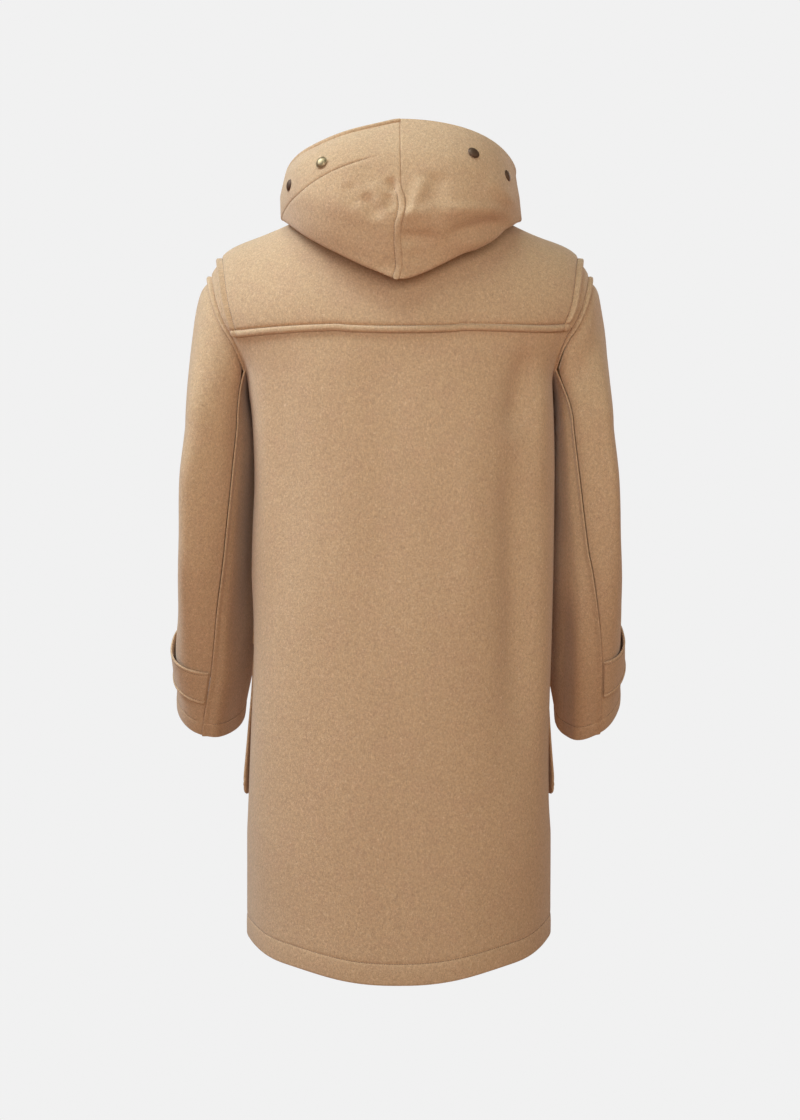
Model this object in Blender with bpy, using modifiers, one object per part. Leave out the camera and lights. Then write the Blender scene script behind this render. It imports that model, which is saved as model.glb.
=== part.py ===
"""Duffle coat in heavy wool, with a hood, a saddle yoke and toggles.

Metres, +Z up. The wearer faces -Y and the wearer's left is +X. The origin
is where the shoulders carry the coat: level with the high points of the
shoulder seams, midway between the two neck points.

Each cloth piece is a wall lofted through rows of points that are worked out
from the sizes and tables below. Pieces that are sewn together share the
points and the normals of their seam, so their walls meet with a small gap.
"""
from collections import namedtuple
from math import cos, pi, radians, sin

import bmesh
import bpy
import numpy as np
from mathutils import Matrix, Vector

# ------------------------------------------------------------------ sizes
CLOTH = 0.003              # thickness of the wool
SEAM_GAP = 0.0003          # gap that sewn or resting pieces keep
PLY = CLOTH + SEAM_GAP     # height that one layer adds to what it lies on
SEAM_SHARE = 0.75          # of the gap, taken from each side; mitred edges need more

HEM_Z = -0.979             # hem at the side seams
HEM_DROP = 0.031           # how much lower the hem hangs at centre back
HEM_BOW = 0.62             # share of that drop that comes near the centre
HEM_CORNER = 0.25, 0.75    # where along the hem, 0 side to 1 centre, the rest comes
UNDERARM_Z = -0.235
YOKE_Z = -0.186            # lower edge of the yoke

ARM_X = 0.2235             # armhole at the level of the yoke's edge
ARM_BACK = 0.070
ARM_FRONT = 0.066
UNDERARM_X = 0.2045
ARM_ROUND = 2.4            # roundness of the armhole's lower half

NECK_X = 0.085
NECK_BACK, NECK_FRONT = 0.088, 0.100
YOKE_SIDE_X = 0.247        # yoke's side edge at the shoulder
YOKE_CORNER_X = 0.2182     # yoke's lower corner
SHOULDER_X = 0.262         # top of the armhole

NECK_GAP = 0.0005          # gap between the neck edge and the hood
BISECTIONS = 40
NECK_STEPS = 4
SHOULDER_STEPS = 7
BODY_ROWS = (HEM_Z, -0.90, -0.80, -0.72, -0.64, -0.56, -0.48, -0.41, -0.35,
             -0.29, UNDERARM_Z)
UNDERARM_STEPS = 6
YOKE_STEPS = 6
OVERLAP_STEPS = 1          # columns of a front beyond centre front

# Body below the yoke at heights z; square is 2 for an ellipse and more for a
# squarer curve.
Girth = namedtuple("Girth", "z half_width centre back front square")
GIRTHS = (
    Girth(-1.020, 0.2052, 0.0017, 0.178, 0.172, 2.50),
    Girth(-0.850, 0.2046, 0.0017, 0.174, 0.170, 2.50),
    Girth(-0.700, 0.2036, 0.0012, 0.170, 0.168, 2.50),
    Girth(-0.550, 0.2018, -0.0024, 0.165, 0.164, 2.55),
    Girth(-0.450, 0.2024, -0.0044, 0.160, 0.160, 2.60),
    Girth(-0.370, 0.2016, -0.0058, 0.156, 0.156, 2.65),
    Girth(-0.290, 0.2022, -0.0040, 0.152, 0.153, 2.75),
    Girth(-0.235, 0.2045, 0.0, 0.149, 0.150, 2.75),
    Girth(-0.186, 0.2045, 0.0, 0.1465, 0.148, 2.20),
)

# Crest of the shoulders; the neck is cut from it as far as the neck point.
Ridge = namedtuple("Ridge", "x z")
SHOULDER = (
    Ridge(0.0, 0.0165), Ridge(0.043, 0.0120), Ridge(0.085, 0.0),
    Ridge(0.128, -0.0155), Ridge(0.169, -0.0345),
    Ridge(0.190, -0.0428), Ridge(0.2135, -0.0510),
    Ridge(0.2298, -0.0590), Ridge(0.247, -0.0750), Ridge(0.262, -0.0970),
)

# How the upper body leaves the yoke's edge line and reaches the crest, for
# columns that end at x on the crest.
Spring = namedtuple("Spring", "x out rise over lift spread gather")
BACK_SPRING = (
    Spring(0.000, -0.010, 0.240, 0.200, 0.000, 0.000, 0.000),
    Spring(0.085, -0.002, 0.220, 0.200, 0.000, 0.010, 0.010),
    Spring(0.170, 0.022, 0.190, 0.195, 0.000, 0.020, 0.020),
    Spring(0.225, 0.022, 0.150, 0.160, 0.005, 0.030, 0.022),
    Spring(0.262, 0.004, 0.085, 0.112, 0.035, 0.075, 0.012),
)
FRONT_SPRING = (
    Spring(0.000, 0.004, 0.180, 0.180, 0.000, 0.000, 0.000),
    Spring(0.085, 0.004, 0.185, 0.185, 0.000, 0.010, 0.010),
    Spring(0.170, 0.014, 0.190, 0.190, 0.000, 0.020, 0.020),
    Spring(0.225, 0.014, 0.150, 0.155, 0.005, 0.030, 0.022),
    Spring(0.262, 0.004, 0.085, 0.107, 0.035, 0.075, 0.012),
)

# Soft drapes of the back: a ridge has a positive height, a trough negative.
Drape = namedtuple("Drape", "x_top z_top x_low z_low width height")
DRAPE_START, DRAPE_END = 0.12, 0.40   # shares of its length over which it comes and goes
DRAPE_SIDE = 0.35                     # fades within this share of the way to the seam
DRAPES = (
    Drape(-0.184, -0.192, -0.181, -0.84, 0.021, 0.0050),
    Drape(-0.154, -0.192, -0.146, -0.84, 0.030, -0.0085),
    Drape(0.028, -0.200, 0.030, -0.62, 0.030, -0.0025),
    Drape(0.186, -0.200, 0.184, -0.62, 0.020, 0.0030),
    Drape(0.156, -0.200, 0.146, -0.58, 0.026, -0.0035),
)

# The yoke's edge runs higher than YOKE_Z at these shares of the back's half
# width; the rise fades within YOKE_FADE above and below it.
Bend = namedtuple("Bend", "share rise")
YOKE_BENDS = (
    Bend(-1.0, 0.0), Bend(-0.955, 0.0145), Bend(-0.751, 0.0080), Bend(-0.555, 0.0040),
    Bend(-0.357, 0.0020), Bend(0.0, 0.0), Bend(0.302, 0.0012), Bend(0.617, 0.0016),
    Bend(0.824, 0.0030), Bend(0.955, 0.0048), Bend(1.0, 0.0),
)
YOKE_FADE = 0.045

# Sleeve rings at heights z of their centres: their outer side and what the
# right one has more, how far the inner side clears the body, place and depth
# from front to back, lean (the inner side lies further forward), tilt
# forwards, drop of the inner side and what the right one has more, how much
# flatter its outer half is, and the back seam's angles from the outer side
# towards the back.
Cuff = namedtuple("Cuff", "z outer more clear y half_depth lean tilt roll turn flat "
                          "seam_left seam_right")
SLEEVE = (
    Cuff(-0.686, 0.3175, -0.0015, 0.0530, -0.112, 0.068, 0.0, 33, 0.22, 0.16, 0.00, 85, 80),
    Cuff(-0.600, 0.3095, -0.0018, 0.0130, -0.061, 0.071, 0.2, 28, 0.10, 0.04, 0.12, 90, 74),
    Cuff(-0.532, 0.3000, 0.0018, 0.0061, -0.032, 0.075, 0.5, 20, 0.04, 0.00, 0.24, 93, 80),
    Cuff(-0.450, 0.2943, 0.0020, 0.0032, -0.010, 0.079, 0.8, 11, 0.00, 0.00, 0.28, 103, 92),
    Cuff(-0.370, 0.2912, 0.0010, 0.0030, -0.001, 0.083, 0.8, 4, 0.00, 0.00, 0.28, 113, 105),
    Cuff(-0.300, 0.2855, 0.0000, 0.0032, 0.001, 0.086, 0.6, 0, 0.00, 0.00, 0.20, 127, 116),
)
SLEEVE_HALF = 0.045        # usual half width of a sleeve
FRONT_SEAM = -155
SLEEVE_SQUARE = 0.9
SLEEVE_TOP_Z = -0.300
SLEEVE_HEAD_ROWS = (0.0, 0.12, 0.28, 0.46, 0.64, 0.82, 1.0)
SLEEVE_ROWS = (-0.350, -0.400, -0.450, -0.500, -0.550, -0.603, -0.645, -0.686)
ARMHOLE_STEPS = 2 * (UNDERARM_STEPS + YOKE_STEPS)
BACK_SEAM_STEP = 3         # steps up from the underarm to the back seam
FRONT_SEAM_STEP = 21

# Direction in which the sleeve leaves the armhole, by share of its height.
Head = namedtuple("Head", "height out down reach")
HEADS = (
    Head(0.00, 0.35, 0.94, 0.80), Head(0.15, 0.38, 0.92, 0.95),
    Head(0.45, 0.32, 0.95, 1.00), Head(0.80, 0.38, 0.92, 0.85),
    Head(1.00, 0.58, 0.81, 0.70),
)

# Hood rings from above the neck seam, down to the fold and up to the brim. Levels
# along a ring run from the centre back to the side: vee is the straight
# share of that rise, bow the rounded share, and the rest comes at the side;
# flat is how much squarer than an ellipse the ring's back is.
Ring = namedtuple("Ring", "half_width back front z_back z_side z_front "
                          "vee_left bow_left vee_right bow_right wider_right flat")
HOOD = (
    Ring(0.0880, 0.0890, 0.1040, 0.0020, 0.0160, -0.0400, 0, .6, 0, .6, 0, .00),
    Ring(0.0980, 0.0970, 0.1100, 0.0060, 0.0210, -0.0300, 0, .6, 0, .6, 0, .02),
    Ring(0.1230, 0.1240, 0.1170, -0.0420, 0.0040, -0.0360, .2, .6, .2, .6, .001, .06),
    Ring(0.1450, 0.1460, 0.1220, -0.1000, -0.0130, -0.0440, .5, .35, .5, .35, .003, .10),
    Ring(0.1545, 0.1570, 0.1260, -0.1250, -0.0175, -0.0470, .58, .3, .58, .3, .005, .14),
    Ring(0.1610, 0.1680, 0.1285, -0.1110, -0.0160, -0.0440, .58, .3, .58, .3, .004, .18),
    Ring(0.1600, 0.1900, 0.1275, -0.0560, 0.0050, -0.0380, .4, .4, .4, .4, .001, .24),
    Ring(0.1565, 0.1850, 0.1250, -0.0050, 0.0220, -0.0320, .3, .45, .2, .5, 0, .28),
    Ring(0.1545, 0.1720, 0.1220, 0.0390, 0.0330, -0.0270, .6, .1, .15, .5, 0, .30),
    Ring(0.1500, 0.1420, 0.1180, 0.0850, 0.0405, -0.0230, .80, 0, .03, .70, .006, .30),
)
HOOD_STEP = 90 / NECK_STEPS
HOOD_NODES = 7             # columns of the body that the neck seam passes
HOOD_END = HOOD_STEP * HOOD_NODES   # angle from centre back to the front corner
YOKE_NODES = 5             # as far round the neck as the yoke goes
FRONT_BOW = 0.6
HOOD_COLUMNS = 14
HOOD_ROWS = 20
VEE_ROUND = 0.06           # how softly a ring turns at the centre back
SIDE_TURN = 8              # how late the rest of a ring's rise comes

# Pockets on the fronts: rows and columns of the front panel that they cover.
POCKET_TOP, POCKET_LOW = -0.56, -0.80
POCKET_COLUMNS = (6, 11)
POCKET_FLARE = 0.005       # how far the lower rear corner stands off

# Straps round the outer side of each cuff, measured along the sleeve.
STRAP_LOW_Z, STRAP_TOP_Z = -0.648, -0.605
STRAP_END = -78            # angle of the strap's front end
STRAP_START = 2            # degrees from the seam to the strap's edge
STRAP_RISE = 0.010         # how much higher it lies at the outer side
STRAP_TURN = 1.6           # how early along the strap it has risen
STRAP_STAND = 0.0085       # how far its top edge stands off there
STRAP_COLUMNS, STRAP_LINES = 12, 2
LOOSE_GAP = 0.0010

Dome = namedtuple("Dome", "radius height lip steps")
BUTTON = Dome(0.011, 0.0014, 0.0018, 3)
BUTTON_ALONG, BUTTON_SHARE = 0.87, 0.5   # its place along and across the strap
BUTTON_GAP = 0.0016
SNAP = Dome(0.008, 0.0024, 0.0010, 4)
# Snaps on the hood: side, angle from centre back, ring position, and height
# over the curve of the hood, whose flat facets lie a little under it.
Snap = namedtuple("Snap", "name side angle ring height")
SNAPS = (
    Snap("snap_left_rear", 1, 32, 8.60, -0.0001),
    Snap("snap_left_side", 1, 61, 7.65, -0.0003),
    Snap("snap_right_rear", -1, 29, 9.00, -0.0002),
    Snap("snap_right_side", -1, 57, 8.15, 0.0003),
)

# Closures down the front.
CLOSURE_Z = (-0.206, -0.340, -0.475, -0.610)
PATCH_HALF = 0.0165
PATCH_THICK = 0.0022
PATCH_GAP = 0.0004
LEFT_PATCH_X, RIGHT_PATCH_X = 0.010, -0.0775
TOGGLE_X = -0.042
TOGGLE_HALF = 0.026
TOGGLE_RADIUS = 0.0065
CORD_RADIUS = 0.0017
CORD_LIFT = 0.0006         # from the cloth to a cord
LOOP_REACH = 0.002         # how far a loop's end starts beyond the toggle's axis
HOLD_TURN = 0.003          # how far the other cord passes that axis
LOOP_HALF = 0.0070         # half the spacing of the left cord's strands
HOLD_HALF = 0.0026         # half the spacing of the right cord's strands
HOLD_RISE = 0.0035         # length over which it climbs off its patch
CORD_GAP = 0.0012          # from a cord's end to the edge of its patch

# Name: colour, roughness, metallic value.
FINISHES = {
    "wool": ((0.46, 0.30, 0.175), 0.95, 0.0),
    "leather": ((0.10, 0.045, 0.02), 0.55, 0.0),
    "horn": ((0.16, 0.085, 0.04), 0.35, 0.0),
    "cord": ((0.12, 0.065, 0.035), 0.85, 0.0),
    "brass": ((0.36, 0.24, 0.10), 0.35, 1.0),
}


# ------------------------------------------------------------- arithmetic
def read(rows, field, key):
    """A table's column at a key, on a smooth curve that doesn't overshoot."""
    keys = np.array([row[0] for row in rows], float)
    values = np.array([getattr(row, field) for row in rows], float)
    steps = np.diff(keys)
    rates = np.diff(values) / steps
    slopes = np.zeros(len(keys))
    slopes[0], slopes[-1] = rates[0], rates[-1]
    same = rates[:-1] * rates[1:] > 0
    means = 2 * rates[:-1] * rates[1:] / np.where(same, rates[:-1] + rates[1:], 1)
    slopes[1:-1] = np.where(same, means, 0)
    key = np.clip(key, keys[0], keys[-1])
    i = np.clip(np.searchsorted(keys, key) - 1, 0, len(steps) - 1)
    t = (key - keys[i]) / steps[i]
    start, end = slopes[i] * steps[i], slopes[i + 1] * steps[i]
    return hermite(values[i], start, values[i + 1], end, t)


def hermite(start, leave, end, arrive, t):
    """Cubic from start to end with the given speeds at its ends."""
    return (start * (1 + 2 * t) * (1 - t) ** 2 + leave * t * (1 - t) ** 2
            + end * t * t * (3 - 2 * t) + arrive * t * t * (t - 1))


def ease(t):
    t = np.clip(t, 0, 1)
    return t * t * (3 - 2 * t)


def power(value, exponent):
    return np.sign(value) * np.abs(value) ** exponent


def points(x, y, z):
    """Grid of points from three arrays that fit each other's shape."""
    return np.stack(np.broadcast_arrays(x, y, z), axis=-1)


# ------------------------------------------------------------------- body
def armhole_low(turn, back):
    """Armhole's lower half: turn is 0 at the yoke's level, 1 underneath."""
    angle = turn * pi / 2
    depth = (ARM_BACK if back else ARM_FRONT) * np.cos(angle) ** (2 / ARM_ROUND)
    drop = np.sin(angle) ** (2 / ARM_ROUND)
    z = YOKE_Z + (UNDERARM_Z - YOKE_Z) * drop
    x = UNDERARM_X + (ARM_X - UNDERARM_X) * (1 - drop) ** 1.5
    return x, depth, z


def body_depth(z, back):
    return read(GIRTHS, "back" if back else "front", z)


def arm_span(turn, back):
    """Half width of the body's curve through the armhole, and its angle."""
    x, depth, z = armhole_low(turn, back)
    square = read(GIRTHS, "square", z)
    share = (1 - (depth / body_depth(z, back)) ** square) ** (1 / square)
    return x / share, np.arcsin(np.clip(share, 0, 1) ** (square / 2)), z


def column_share(top_x):
    """Where a column that ends at top_x runs on the body: 0 centre, 1 side."""
    reach = np.abs(top_x)
    inner = reach * YOKE_CORNER_X / YOKE_SIDE_X
    edge = (reach - YOKE_SIDE_X) / (SHOULDER_X - YOKE_SIDE_X)
    outer = YOKE_CORNER_X + (ARM_X - YOKE_CORNER_X) * edge
    row_x = np.where(reach <= YOKE_SIDE_X, inner, outer)
    width, end, z = arm_span(0.0, True)
    angle = np.arcsin(np.clip(row_x / width, 0, 1) ** (read(GIRTHS, "square", z) / 2))
    return np.sign(top_x) * angle / end


def drape(x, z):
    height = 0
    for fold in DRAPES:
        t = (z - fold.z_top) / (fold.z_low - fold.z_top)
        middle = fold.x_top + (fold.x_low - fold.x_top) * t
        fade = ease(t / DRAPE_START) * ease((1 - t) / DRAPE_END)
        height = height + fold.height * fade * np.exp(-((x - middle) / fold.width) ** 2)
    return height


def body_curve(angle, width, depth, square, share, z, back):
    """Across and out along the body's curve, with the drapes of the back."""
    x = width * power(np.sin(angle), 2 / square)
    y = depth * np.abs(np.cos(angle)) ** (2 / square)
    out_x = power(x / width, square - 1) / width
    out_y = (y / depth) ** (square - 1) / depth
    fade = ease(np.cos(share * pi / 2) / DRAPE_SIDE)
    scale = drape(x, z) * fade / np.hypot(out_x, out_y) if back else 0
    return x + out_x * scale, y + out_y * scale


def yoke_rise(share, z):
    """How much higher the back lies here for the bends of the yoke's edge."""
    return read(YOKE_BENDS, "rise", share) * ease(1 - np.abs(z - YOKE_Z) / YOKE_FADE)


def body_low(share, z, back):
    """Body from the hem to the underarm."""
    angle = share * pi / 2
    depth, square = body_depth(z, back), read(GIRTHS, "square", z)
    width = read(GIRTHS, "half_width", z)
    x, y = body_curve(angle, width, depth, square, share, z, back)
    middle = np.abs(np.cos(angle))
    low = ease((UNDERARM_Z - z) / (UNDERARM_Z - HEM_Z)) ** 2
    start, end = HEM_CORNER
    corner = (1 - HEM_BOW) * ease((middle - start) / (end - start))
    drop = HEM_DROP * low * (HEM_BOW * middle ** 8 + corner)
    return points(x + read(GIRTHS, "centre", z), y if back else -y, z - drop)


def body_middle(share, turn, back):
    """Body beside the lower half of the armhole."""
    width, end, z = arm_span(turn, back)
    depth, square = body_depth(z, back), read(GIRTHS, "square", z)
    x, y = body_curve(share * end, width, depth, square, share, z, back)
    return points(x, y if back else -y, z + (yoke_rise(share, z) if back else 0))


def level(share, vee, bow):
    """Rise along a ring from the centre, 0, to the side, 1."""
    edge = np.sqrt(1 + VEE_ROUND ** 2) - VEE_ROUND
    straight = (np.sqrt(share ** 2 + VEE_ROUND ** 2) - VEE_ROUND) / edge
    return vee * straight + bow * share ** 2 + (1 - vee - bow) * share ** SIDE_TURN


def body_crest(top_x, t, back):
    """Body from the yoke's level up to the crest of the shoulders."""
    start = body_middle(column_share(top_x), 0.0, back)
    end_z = read(SHOULDER, "z", np.abs(top_x))
    table = BACK_SPRING if back else FRONT_SPRING
    spring = {name: read(table, name, np.abs(top_x)) for name in Spring._fields[1:]}
    side, way = np.sign(top_x), 1 if back else -1
    x = hermite(start[..., 0], side * spring["spread"], top_x,
                side * spring["gather"], t)
    y = hermite(start[..., 1], way * spring["out"], 0.0, -way * spring["over"], t)
    z = hermite(YOKE_Z, spring["rise"], end_z, spring["lift"], t)
    z = z + (yoke_rise(column_share(top_x), z) if back else 0)
    return points(x, y, z)


def neck_cut(top_x, back):
    """Share of a column at which the neck is cut, 1 from the neck point out."""
    depth = NECK_BACK if back else NECK_FRONT
    wanted = depth * np.sqrt(1 - np.clip(np.abs(top_x) / NECK_X, 0, 1) ** 2)
    low, high = np.zeros_like(top_x), np.ones_like(top_x)
    for _ in range(BISECTIONS):
        middle = (low + high) / 2
        inside = np.abs(body_crest(top_x, middle, back)[..., 1]) < wanted
        low, high = np.where(inside, low, middle), np.where(inside, middle, high)
    return high


def body_top(top_x, t, back):
    """Body from the yoke's level up to the neck or the shoulder seam."""
    return body_crest(top_x, t * neck_cut(top_x, back), back)


def top_columns():
    """Distances from the centre at which the columns meet the top edge."""
    round_neck = [NECK_X * sin(pi / 2 * i / NECK_STEPS) for i in range(NECK_STEPS)]
    shoulder = list(np.linspace(NECK_X, YOKE_SIDE_X, SHOULDER_STEPS + 1))
    return round_neck + shoulder + [SHOULDER_X]


def body_grid(columns, back):
    """Rows of body points from the hem up, for signed column ends."""
    top_x = np.array(columns)
    share = column_share(top_x)
    rows = [body_low(share, np.full_like(share, z), back) for z in BODY_ROWS]
    turns = [1 - i / UNDERARM_STEPS for i in range(1, UNDERARM_STEPS + 1)]
    rows += [body_middle(share, turn, back) for turn in turns]
    rises = [i / YOKE_STEPS for i in range(1, YOKE_STEPS + 1)]
    rows += [body_top(top_x, t, back) for t in rises]
    return np.array(rows)


def back_columns():
    half = top_columns()
    return half[:0:-1] + [-x for x in half]


def front_columns():
    """Columns of the left front, from its edge beyond the centre outwards."""
    half = top_columns()
    return [-x for x in half[OVERLAP_STEPS:0:-1]] + half


# ----------------------------------------------------------------- sleeve
def armhole(step):
    """Armhole of the left side: step 0 underneath, then up the back."""
    step = step % ARMHOLE_STEPS
    half = UNDERARM_STEPS + YOKE_STEPS
    back = step <= half
    rise = step if back else ARMHOLE_STEPS - step
    if rise <= UNDERARM_STEPS:
        x, y, z = armhole_low(1 - rise / UNDERARM_STEPS, back)
        return np.array((x, y if back else -y, z))
    return body_top(np.array(SHOULDER_X), (rise - UNDERARM_STEPS) / YOKE_STEPS, back)


def seam_angle(step, z, side):
    """Angle of a sleeve column: 0 outer side, 90 back."""
    seam = read(SLEEVE, "seam_left" if side > 0 else "seam_right", z)
    if step <= FRONT_SEAM_STEP:
        share = (step - BACK_SEAM_STEP) / (FRONT_SEAM_STEP - BACK_SEAM_STEP)
        return seam + (FRONT_SEAM - seam) * share
    under = ARMHOLE_STEPS + BACK_SEAM_STEP - FRONT_SEAM_STEP
    share = (step - FRONT_SEAM_STEP) / under
    return 360 + FRONT_SEAM + (seam - 360 - FRONT_SEAM) * share


def sleeve_ring(z, angle, side):
    """Point of a sleeve's ring whose centre is at height z, as a left one."""
    middle, lean, roll = (read(SLEEVE, name, z) for name in ("y", "lean", "roll"))
    outer = read(SLEEVE, "outer", z)
    if side < 0:
        outer, roll = outer + read(SLEEVE, "more", z), roll + read(SLEEVE, "turn", z)
    forward = np.abs(middle - lean * SLEEVE_HALF) / body_depth(z, False)
    square = read(GIRTHS, "square", z)
    body = read(GIRTHS, "half_width", z) * (1 - forward ** square) ** (1 / square)
    inner = body + side * read(GIRTHS, "centre", z) + read(SLEEVE, "clear", z)
    turn, tilt = np.radians(angle), np.radians(read(SLEEVE, "tilt", z))
    square = SLEEVE_SQUARE - read(SLEEVE, "flat", z) * ease((np.cos(turn) + 0.5) / 1.5)
    aside = (outer - inner) / 2 * power(np.cos(turn), square)
    across = read(SLEEVE, "half_depth", z) * power(np.sin(turn), square)
    y = middle + aside * lean + across * np.cos(tilt)
    drop = across * np.sin(tilt) - aside * roll
    return points((outer + inner) / 2 + aside, y, z - drop)


def sleeve_head(step, t, side):
    """Point between the armhole and the sleeve's first ring."""
    start = armhole(step)
    end = sleeve_ring(SLEEVE_TOP_Z, seam_angle(step, SLEEVE_TOP_Z, side), side)
    height = (start[2] - UNDERARM_Z) / (read(SHOULDER, "z", SHOULDER_X) - UNDERARM_Z)
    out, down = read(HEADS, "out", height), read(HEADS, "down", height)
    length = np.linalg.norm(end - start) * read(HEADS, "reach", height)
    leave = np.array((out, 0, -down)) * length
    return hermite(start, leave, end, np.array((0, 0, -1.0)) * length, t)


def sleeve_grid(first, last, side):
    """Rows of points from the armhole to the cuff, between two columns."""
    steps = range(first, last + 1)
    rows = [[sleeve_head(step, t, side) for step in steps] for t in SLEEVE_HEAD_ROWS]
    for z in SLEEVE_ROWS:
        rows.append([sleeve_ring(z, seam_angle(step, z, side), side) for step in steps])
    return np.array(rows)


# ------------------------------------------------------------------- hood
Hood = namedtuple("Hood", "side neck")


def hood_of(side, normals):
    """One side of the hood, whose neck seam lies on the body and the yoke."""
    nodes = []
    for step in range(HOOD_NODES + 1):
        top_x = side * NECK_X * sin(radians(HOOD_STEP * step))
        back = step <= NECK_STEPS
        point = body_top(np.array(top_x), 1.0, back)
        lift = NECK_GAP + (PLY if step <= YOKE_NODES else 0)
        if not back:
            lift += overlap_lift([abs(top_x)])[0]
        nodes.append(point + normals[key_of(point)] * lift)
    return Hood(side, nodes)


def hood_rings(hood, angle):
    """Points of every ring of the hood at an angle from centre back."""
    turn = radians(angle)
    across, along = sin(turn), cos(turn)
    step = min(int(angle / HOOD_STEP), HOOD_NODES - 1)
    start, end = hood.neck[step:step + 2]
    found = [start + (end - start) * (angle / HOOD_STEP - step)]
    for ring in HOOD:
        width, vee, bow = ring.half_width, ring.vee_left, ring.bow_left
        if hood.side < 0:
            width, vee, bow = width + ring.wider_right, ring.vee_right, ring.bow_right
        if along >= 0:
            reach = across ** (1 - ring.flat)
            y = ring.back * along ** (1 - ring.flat)
            z = ring.z_back + (ring.z_side - ring.z_back) * level(reach, vee, bow)
        else:
            reach, y = across, ring.front * along
            z = ring.z_front + (ring.z_side - ring.z_front) * level(across, 0, FRONT_BOW)
        found.append((hood.side * width * reach, y, z))
    return np.array(found)


def hood_point(hood, angle, place):
    """Point of the hood: place 0 is the neck seam, the last ring the brim."""
    rings = hood_rings(hood, angle)
    i = int(min(place, len(rings) - 1 - 1e-9))
    before, after = rings[max(i - 1, 0)], rings[min(i + 2, len(rings) - 1)]
    leave, arrive = (rings[i + 1] - before) / 2, (after - rings[i]) / 2
    return hermite(rings[i], leave, rings[i + 1], arrive, place - i)


def hood_grid(hood):
    """Columns from the front corner to the centre back, rows to the brim."""
    angles = np.linspace(HOOD_END, 0, HOOD_COLUMNS + 1)
    places = np.linspace(0, len(HOOD), HOOD_ROWS + 1)
    rows = [[hood_point(hood, angle, place) for angle in angles] for place in places]
    grid = np.array(rows)
    return grid if hood.side > 0 else grid[:, ::-1]


# ------------------------------------------------------------ cloth walls
def mirrored(grid):
    return grid[:, ::-1] * np.array((-1.0, 1.0, 1.0))


def key_of(point):
    return tuple(int(round(value * 1e5)) for value in point)


def shared_normals(grids):
    """Normal at each point of the grids, the same for pieces that meet."""
    sums = {}
    for grid in grids:
        across = grid[1:, 1:] - grid[:-1, :-1]
        other = grid[1:, :-1] - grid[:-1, 1:]
        faces = np.cross(across, other)
        faces /= np.maximum(np.linalg.norm(faces, axis=-1, keepdims=True), 1e-12)
        for i, j in np.ndindex(faces.shape[:2]):
            for corner in ((i, j), (i, j + 1), (i + 1, j), (i + 1, j + 1)):
                key = key_of(grid[corner])
                sums[key] = sums.get(key, 0) + faces[i, j]
    return {key: total / np.linalg.norm(total) for key, total in sums.items()}


def normals_of(grid, normals):
    flat = [normals[key_of(point)] for point in grid.reshape(-1, 3)]
    return np.array(flat).reshape(grid.shape)


def drawn_in(grid, seams):
    """The grid with its sewn edges drawn in, to leave the gap of a seam."""
    moved = grid.copy()
    own = normals_of(grid, shared_normals((grid,)))
    edges = {"low": (0, 1, 0), "top": (-1, -2, 0), "first": (0, 1, 1),
             "last": (-1, -2, 1)}
    for seam in seams:
        edge, inside, axis = edges[seam]
        line, next_line = np.take(grid, edge, axis), np.take(grid, inside, axis)
        step = np.cross(np.take(own, edge, axis), np.gradient(line, axis=0))
        step *= SEAM_SHARE * SEAM_GAP / np.linalg.norm(step, axis=-1, keepdims=True)
        step *= np.sign(np.sum(step * (next_line - line), axis=-1, keepdims=True))
        if axis == 0:
            moved[edge] += step
        else:
            moved[:, edge] += step
    return moved


def close_edge(shape, start, end, rising):
    """Face the edge of a wall, cut the same way in both pieces of a seam."""
    if rising:
        shape.faces.new((end[0], start[0], end[1]))
        shape.faces.new((start[0], start[1], end[1]))
    else:
        shape.faces.new((end[0], start[0], start[1]))
        shape.faces.new((end[0], start[1], end[1]))


def halves(quads):
    """Triangles of the quads, cut the same way in every layer of cloth."""
    for a, b, c, d in quads:
        one = sum((p - q) ** 2 for p, q in zip(a, c))
        other = sum((p - q) ** 2 for p, q in zip(b, d))
        first_cut = one < other if abs(one - other) > 100 else a[2] > c[2]
        for ring in ((a, b, c), (a, c, d)) if first_cut else ((b, c, d), (b, d, a)):
            if len(set(ring)) == 3:
                yield ring


def wall_mesh(name, layers):
    """Closed wall from (base points, outer points, inner points) grids.

    Grids of one piece are joined where their base points coincide.
    """
    shape = bmesh.new()
    pairs = {}
    used = {}
    quads = []
    for base, outer, inner in layers:
        rows, columns = base.shape[:2]
        for i, j in np.ndindex(rows, columns):
            key = key_of(base[i, j])
            if key not in pairs:
                pairs[key] = (shape.verts.new(outer[i, j]), shape.verts.new(inner[i, j]))
        for i, j in np.ndindex(rows - 1, columns - 1):
            corners = ((i, j), (i, j + 1), (i + 1, j + 1), (i + 1, j))
            quads.append([key_of(base[corner]) for corner in corners])
    for ring in halves(quads):
        shape.faces.new([pairs[key][0] for key in ring])
        shape.faces.new([pairs[key][1] for key in reversed(ring)])
        for start, end in zip(ring, ring[1:] + ring[:1]):
            used[start, end] = True
    for start, end in used:
        if (end, start) not in used:
            close_edge(shape, pairs[start], pairs[end], start < end)
    mesh = bpy.data.meshes.new(name)
    shape.to_mesh(mesh)
    shape.free()
    mesh.shade_smooth()
    mesh.set_sharp_from_angle(angle=radians(50))
    return mesh


def wall_layer(grid, normals, lift=0.0, seams=(), thickness=CLOTH):
    """Base, outer and inner points of a wall whose outside is grid + lift."""
    out = normals_of(grid, normals)
    moved = drawn_in(grid, seams)
    lift = np.asarray(lift, float)[..., None]
    return grid, moved + out * lift, moved + out * (lift - thickness)


def add_piece(name, mesh, finish, collection):
    piece = bpy.data.objects.new(name, mesh)
    piece.data.materials.append(bpy.data.materials[finish])
    collection.objects.link(piece)
    return piece


def add_cloth(name, layers, collection):
    return add_piece(name, wall_mesh(name, layers), "wool", collection)


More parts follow.
